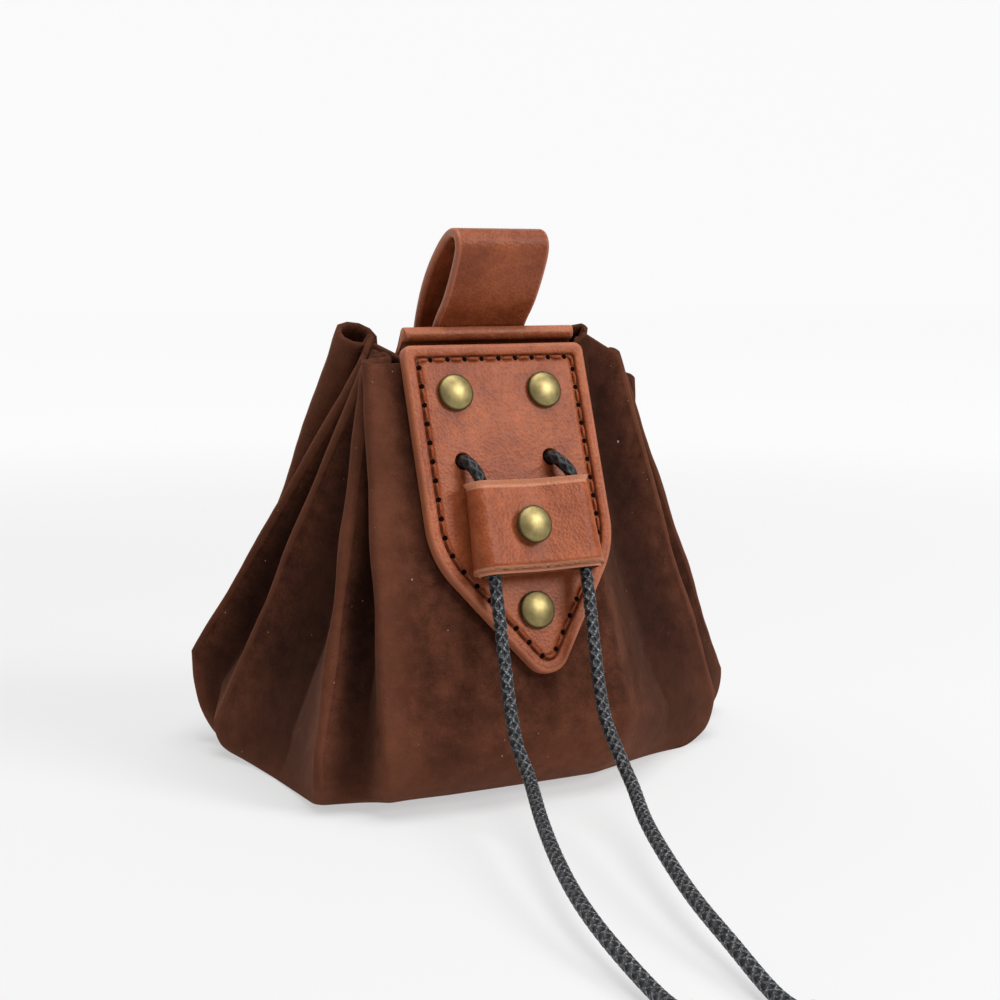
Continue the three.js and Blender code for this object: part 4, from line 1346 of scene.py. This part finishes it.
@dataclass
class Rivet:
    """Domed rivet: a turned profile of washer, shank and cap, on a plate's frame."""

    name: str
    node: str
    frame: Array
    x: float
    drop: float
    head: float
    inner: float
    washer: tuple[float, float] = (6.4, 0.8)
    cap: tuple[float, float] = (8.0, 1.6)
    shank: float = 2.8

    def make(self, material: bpy.types.Material) -> bpy.types.Object:
        """Builds the rivet: the cap is a shallow dome over a thin rounded rim.

        Args:
            material: Its material.

        Returns:
            The piece.
        """
        rim, rise = self.cap[0] / 2, self.cap[1]
        w, t = self.washer[0] / 2, self.washer[1]
        s = self.shank / 2
        low = self.inner
        back = [
            (0.4, low - t), (w - 0.25, low - t), (w, low - t + 0.2), (w, low - 0.15),
            (w - 0.15, low), (s, low), (s, self.head), (rim - 0.5, self.head),
        ]
        lip = np.linspace(-0.5, 0.36, 8) * math.pi
        edge = np.column_stack([rim - 0.3 + 0.3 * np.cos(lip), self.head + 0.3 + 0.3 * np.sin(lip)])
        reach = edge[-1, 0] * np.linspace(0.96, 0.04, 18)
        dome = np.column_stack([reach, edge[-1, 1] + (rise - 0.2 - 0.6) * (1 - (reach / edge[-1, 0]) ** 2)])
        profile = np.vstack([back, edge, dome])
        sides, rows = 48, len(profile)
        points = turned(profile, sides, self.x, -self.drop)
        points[-1, 2] += 0.002
        inset = rim - profile[:, :1]
        inset[: len(back)] = 0
        uv = np.vstack([seam_map(turns(sides), inset, (rows, sides)), (0, 0), (0, rim)])
        faces = tube_faces(rows, sides)
        piece = make_piece(self.name, placed(self.frame, points), faces, uv)
        return dress(piece, material, Look.BRASS, self.node)


@dataclass
class CordSlider:
    """Pinched loop of leather round both strands of the cord."""

    width: float = 30.0
    height: float = 19.5
    thickness: float = 7.2
    wall: float = 1.8
    pinch: float = 1.5
    hollow: float = 20.0
    drop: float = 31.0
    shift: float = 0.9
    rivet_drop: float = 40.9
    rivet_shift: float = -1.5
    rivet_washer: tuple[float, float] = (5.0, 0.7)
    corner: float = 0.55

    def ring(self, inset: float) -> Array:
        """Outline of the loop's section: two round lobes joined by shallow hollows, set in by inset."""
        lobe = self.thickness / 2
        depth = lobe - self.pinch + self.hollow
        x = np.array([self.width / 2 - lobe, 0, lobe - self.width / 2, 0])
        y = np.array([0, depth, 0, -depth])
        reach = np.array([lobe, -self.hollow, lobe, -self.hollow]) - inset
        angle = bends(x, y, reach, reach, 25)
        out = np.stack([np.sin(angle), -np.cos(angle)], axis=-1) * reach[:, None, None]
        return joined(np.stack([x, y], axis=-1)[:, None] + out, 6)

    def make(self, material: bpy.types.Material) -> bpy.types.Object:
        """Builds the loop: a rounded wall section carried round the outline.

        Args:
            material: Its material.

        Returns:
            The piece.
        """
        soft = self.corner
        corners = [(self.wall, 0, soft), (self.wall, -self.height, soft), (0, -self.height, soft), (0, 0, soft)]
        wall = rounded_outline(corners, 6, 10)
        columns = np.stack([self.ring(inset) for inset in wall[:, 0]], axis=1)
        lift = self.thickness / 2 + FITS.gap - 0.5
        points = np.stack([
            self.shift + columns[..., 0],
            np.broadcast_to(-self.drop + wall[:, 1], columns.shape[:2]),
            lift + columns[..., 1],
        ], axis=-1)
        rows, cols = points.shape[:2]
        edge = np.minimum(-wall[:, 1], self.height + wall[:, 1])
        uv = seam_map(np.arange(rows)[:, None] * 0.5, edge, (rows, cols))
        faces = [quads(rows, cols, True, True)]
        piece = make_piece("slider_loop", placed(FRONT, points.reshape(-1, 3)), faces, uv)
        return dress(piece, material, Look.LEATHER, "cord_slider")


@dataclass
class DrawCord:
    """Braided cord: two free ends through the plate and the slider, and a hidden stretch inside the bag."""

    diameter: float = 2.7
    lane_spacing: float = 21.6
    wrap_radius: float = 1.65
    wrap_pitch: float = 2.2
    wraps: float = 2.5
    stub: float = 3.0
    relief: float = 0.18
    plate: FrontPlate = field(default_factory=FrontPlate)
    slider: CordSlider = field(default_factory=CordSlider)
    left_fall: tuple[tuple[float, float, float], ...] = (
        (-13.6, -63, 18), (-14.6, -70, 12.8), (-20.9, -86.7, 9.5), (-26.5, -102.5, 7.6), (-30.9, -117.5, 6),
        (-33.6, -131.4, 4.4), (-35.4, -148.8, 2.2), (-37, -158, 2.9),
    )
    right_fall: tuple[tuple[float, float, float], ...] = (
        (6.3, -63.2, 22), (3.8, -73, 16), (1.1, -82.9, 12), (-3.9, -95.5, 9.5), (-9.3, -111.5, 7.6),
        (-13.7, -126.6, 6), (-16.6, -140.3, 4.4), (-19.7, -157, 2.2), (-21.5, -166, 2.9),
    )

    def route(self, side: int) -> Array:
        """Points of one free end, from its hole in the plate to its tip."""
        hole = self.plate.hole_shift + side * self.plate.hole_spacing / 2
        drop = self.plate.hole_drop
        lane = self.slider.shift + side * self.lane_spacing / 2
        high = self.slider.thickness / 2 + FITS.gap - self.plate.recess
        fall = self.left_fall if side < 0 else self.right_fall
        near = [
            on_front(hole, drop, -FITS.plate_thickness), on_front(hole, drop, -0.6),
            on_front(hole, drop + 0.5, 1), on_front(hole + (lane - hole) * 0.4, drop + 2, 2.4),
            on_front(lane, drop + 4.4, high),
            on_front(lane, self.slider.drop + self.slider.height * 0.3, high),
            on_front(lane, self.slider.drop + self.slider.height, high),
        ]
        return np.array([*near, *fall], dtype=float)

    def surface(self, line: Array, reference: Array) -> tuple[Array, list[Array], Array]:
        """Braided skin round a line: the radius swells where one of two crossing sets of strands lies on top.

        Args:
            line: Middle of the cord.
            reference: Direction that the cord never runs along.

        Returns:
            Points, faces and the map of run along the cord and turn round it.
        """
        way = unit(np.gradient(line, axis=0))
        side = unit(reference - way * (way @ reference)[:, None])
        up = np.cross(way, side)
        run = run_along(line)
        turn = np.arange(24) / 24
        phase = turn[None, :] * CordFinish.carriers * 2 * math.pi
        travel = run[:, None] * 2 * math.pi / CordFinish.pitch
        plait = np.maximum(np.sin(phase + travel), np.sin(phase - travel))
        near_end = np.minimum(run, run[-1] - run)[:, None]
        taper = 0.75 + 0.25 * smoothstep(0, 0.5, near_end)
        radius = (self.diameter / 2 - self.relief * (1 - plait) / 2) * taper
        round_ = turn[:, None] * 2 * math.pi
        ring = side[:, None, :] * np.cos(round_) + up[:, None, :] * np.sin(round_)
        grid = line[:, None, :] + ring * radius[..., None]
        flat = np.vstack([grid.reshape(-1, 3), line[0], line[-1]])
        uv = np.vstack([seam_map(run[:, None], turn, radius.shape), (0, 0), (0, 0)])
        return flat, tube_faces(*radius.shape), uv

    def tube(self, name: str, points: Array, reference: Array) -> tuple[bpy.types.Object, Array]:
        """Braided tube through points.

        Args:
            name: Name of the piece.
            points: Points that the cord passes.
            reference: Direction that the cord never runs along.

        Returns:
            The piece, and the line that it follows.
        """
        line = spaced(spline(points, True, 24), max(60, int(length(points) / 0.24)))
        flat, faces, uv = self.surface(line, reference)
        return make_piece(name, flat, faces, uv), line

    def knot(self, word: str, route: Array, material: bpy.types.Material) -> bpy.types.Object:
        """Stopper knot at the tip: the cord wound round its own end in a helix, with a short stub beyond.

        Args:
            word: Which free end, "left" or "right".
            route: Points of that free end.
            material: Material of the cord.

        Returns:
            The knot.
        """
        way = unit(route[-1] - route[-2])
        side = unit(np.cross(way, (0.0, 0.0, 1.0)))
        up = np.cross(side, way)
        start = route[-1] + way * FITS.gap
        half = self.diameter / 2
        t = np.linspace(0, 1, 90)[:, None]
        angle = t * self.wraps * 2 * math.pi
        wound = start + (side * np.cos(angle) + up * np.sin(angle)) * self.wrap_radius
        wound = wound + way * (half + t * self.wraps * self.wrap_pitch)
        end = self.diameter + self.wraps * self.wrap_pitch + self.stub
        core = start + way * np.linspace(0, end, 20)[:, None]
        parts, skins, count = [], [], 0
        for line, reference in ((wound, way), (core, side)):
            points, faces, uv = self.surface(line, reference)
            parts += [group + count for group in faces]
            skins.append(np.column_stack([points, uv]))
            count += len(points)
        skin = np.vstack(skins)
        piece = make_piece(f"knot_{word}", skin[:, :3], parts, skin[:, 3:])
        return dress(piece, material, Look.CORD, f"drawcord_{word}_knot")

    def make(self, material: bpy.types.Material) -> None:
        for side, word in ((-1, "left"), (1, "right")):
            piece, line = self.tube(f"cord_{word}", self.route(side), np.array([1.0, 0.0, 0.0]))
            dress(piece, material, Look.CORD, f"drawcord_{word}_tail")
            (spaced(line, 36) * MM).tolist()
            self.knot(word, self.route(side), material)
        left, right = (self.plate.hole_shift + side * self.plate.hole_spacing / 2 for side in (-1, 1))
        start = -FITS.plate_thickness - FITS.gap
        deep = start - FITS.suede - FITS.gap
        drop = self.plate.hole_drop
        inner = np.array([on_front(x, drop - rise, out) for x, rise, out in (
            (left, 0, start), (left, 0, deep - 1), (left + 2.5, 1, deep - 3.4), (0, 2, deep - 4.5),
            (right - 2.5, 1, deep - 3.4), (right, 0, deep - 1), (right, 0, start),
        )])
        piece, _ = self.tube("cord_inside", inner, FRONT[:3, 1])
        dress(piece, material, Look.CORD, "drawcord_inner")


@dataclass
class Studio:
    """Camera at the photograph's angle, pale floor and soft light."""

    place: tuple[float, float, float] = (-0.1722, -0.3596, 0.1092)
    elevation: float = 7.36
    azimuth: float = 27.6
    lens: float = 63.0
    albedo: float = 0.34
    glow: tuple[float, float] = (0.5, 0.93)
    spread: tuple[float, float] = (0.15, 0.85)
    key: float = 13.0
    top: float = 24.0
    surround: float = 0.16

    def make_camera(self) -> None:
        """Sets the camera."""
        camera = bpy.data.cameras.new("camera")
        camera.lens, camera.sensor_width = self.lens, 36.0
        camera.clip_start = 0.01
        holder = bpy.data.objects.new("camera", camera)
        holder.location = self.place
        holder.rotation_euler = (math.radians(90 - self.elevation), 0, math.radians(-self.azimuth))
        bpy.context.scene.collection.objects.link(holder)
        bpy.context.scene.camera = holder

    def make_light(self, name: str, place: tuple[float, float, float], size: float, power: float) -> None:
        """Adds a soft square light that looks at the pouch.

        Args:
            name: Name of the light.
            place: Where it hangs, in metres.
            size: Side of the square, in metres.
            power: Power in watts.
        """
        light = bpy.data.lights.new(name, "AREA")
        light.size, light.energy = size, power
        holder = bpy.data.objects.new(name, light)
        holder.location = place
        aim = np.array((0.0, 0.0, 0.045)) - np.array(place)
        flat = math.hypot(aim[0], aim[1])
        holder.rotation_euler = (math.atan2(flat, -aim[2]), 0, math.atan2(aim[1], aim[0]) - math.pi / 2)
        bpy.context.scene.collection.objects.link(holder)

    def make_stage(self, name: str, corners: list[tuple[float, float, float]]) -> None:
        """Adds one plain sheet of the set: pale where the shadows fall, and glowing evenly further off.

        Args:
            name: Name of the sheet.
            corners: Its four corners, in metres.
        """
        paint = Paint(name)
        away = paint.node("ShaderNodeVectorMath", {"operation": "LENGTH"}, {0: paint.place()}, "Value")
        far = away.step(*self.spread)
        paint.put(Base_Color=paint.mix(far, (self.albedo,) * 3, (0.05, 0.05, 0.05)), Roughness=0.8)
        paint.put(Emission_Color=paint.mix(far, (self.glow[0],) * 3, (self.glow[1],) * 3))
        paint.put(Emission_Strength=1.0, Specular_IOR_Level=0.0)
        mesh = bpy.data.meshes.new(name)
        mesh.from_pydata(corners, [], [(0, 1, 2, 3)])
        mesh.materials.append(paint.material)
        sheet = bpy.data.objects.new(name, mesh)
        bpy.context.scene.collection.objects.link(sheet)

    def make(self) -> None:
        """Adds the floor, the backdrop, the lights and a grey surround."""
        far, high = 5.0, 6.0
        self.make_stage("floor", [(-9, -6, 0), (9, -6, 0), (9, far, 0), (-9, far, 0)])
        self.make_stage("backdrop", [(-9, far, 0), (9, far, 0), (9, far, high), (-9, far, high)])
        self.make_light("key", (0.75, -1.1, 0.85), 0.6, self.key)
        self.make_light("top", (0.1, -0.25, 1.7), 1.2, self.top)
        world = bpy.data.worlds.new("surround")
        world.use_nodes = True
        world.node_tree.nodes["Background"].inputs[0].default_value = (1.0, 1.0, 1.0, 1)
        world.node_tree.nodes["Background"].inputs[1].default_value = self.surround
        bpy.context.scene.world = world
        bpy.context.scene.view_settings.view_transform = "Standard"


def main() -> None:
    """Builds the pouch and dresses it."""
    logging.basicConfig(level=logging.INFO)
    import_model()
    studio = Studio()
    studio.make_camera()
    cord = DrawCord()
    cord.make(CordFinish().make())
    studio.make()
    leather = LeatherFinish().make()
    plate = cord.plate
    _, pitch = plate.seam_run()
    PleatedBody().make(SuedeFinish().make())
    plate.make(LeatherFinish(name="stitched_leather", stitched=pitch, stitch_inset=plate.stitch_inset).make())
    plate.stitches(ThreadFinish().make())
    # Painted shade: near-black discs stand for the shade inside the needle holes.
    plate.needle_holes(ThreadFinish("needle_hole_shade", (0.012, 0.005, 0.003), 1.0).make())
    back = BackPlateAndLoop()
    back.make_plate(leather)
    # Painted shade: the belt loop takes a darker copy of the leather's colours, which stands in for the shade
    # it lies in.
    loop = LeatherFinish(
        "shaded_loop_leather", dark=(0.12, 0.0235, 0.0075), middle=(0.245, 0.056, 0.019), pale=(0.40, 0.112, 0.042)
    )
    back.make_loop(loop.make())
    slider = cord.slider
    polished = LeatherFinish("slider_leather", burnish=(0.60, 0.245, 0.135), edge=1.3, edge_shade=0.8)
    slider.make(polished.make())
    brass = BrassFinish().make()
    inner = -FITS.plate_thickness - FITS.suede - 2 * FITS.gap
    head = FITS.gap - plate.recess
    for word, x, drop in plate.rivets:
        Rivet(f"cap_{word}", f"rivet_{word}", FRONT, x, drop, head, inner).make(brass)
    sag = 2 * slider.hollow
    top = slider.thickness - slider.pinch - plate.recess + (4 - slider.rivet_shift) ** 2 / sag + 2 * FITS.gap
    under = slider.pinch - plate.recess - (2.5 - slider.rivet_shift) ** 2 / sag
    middle = slider.shift + slider.rivet_shift
    cap = Rivet("cap_slider", "slider_rivet", FRONT, middle, slider.rivet_drop, top, under, slider.rivet_washer)
    cap.make(brass)
    outer = back.tail_face() + 2 * back.loop_thickness + 2 * FITS.gap
    behind = -2 * FITS.gap - FITS.suede * math.cos(FITS.back_lean)
    for side, word in ((-1, "right"), (1, "left")):
        x = side * back.loop_width / 4 - back.loop_shift
        Rivet(f"cap_back_{word}", f"rivet_back_{word}", BACK, x, back.rivet_drop, outer, behind).make(brass)


if __name__ == "__main__":
    main()
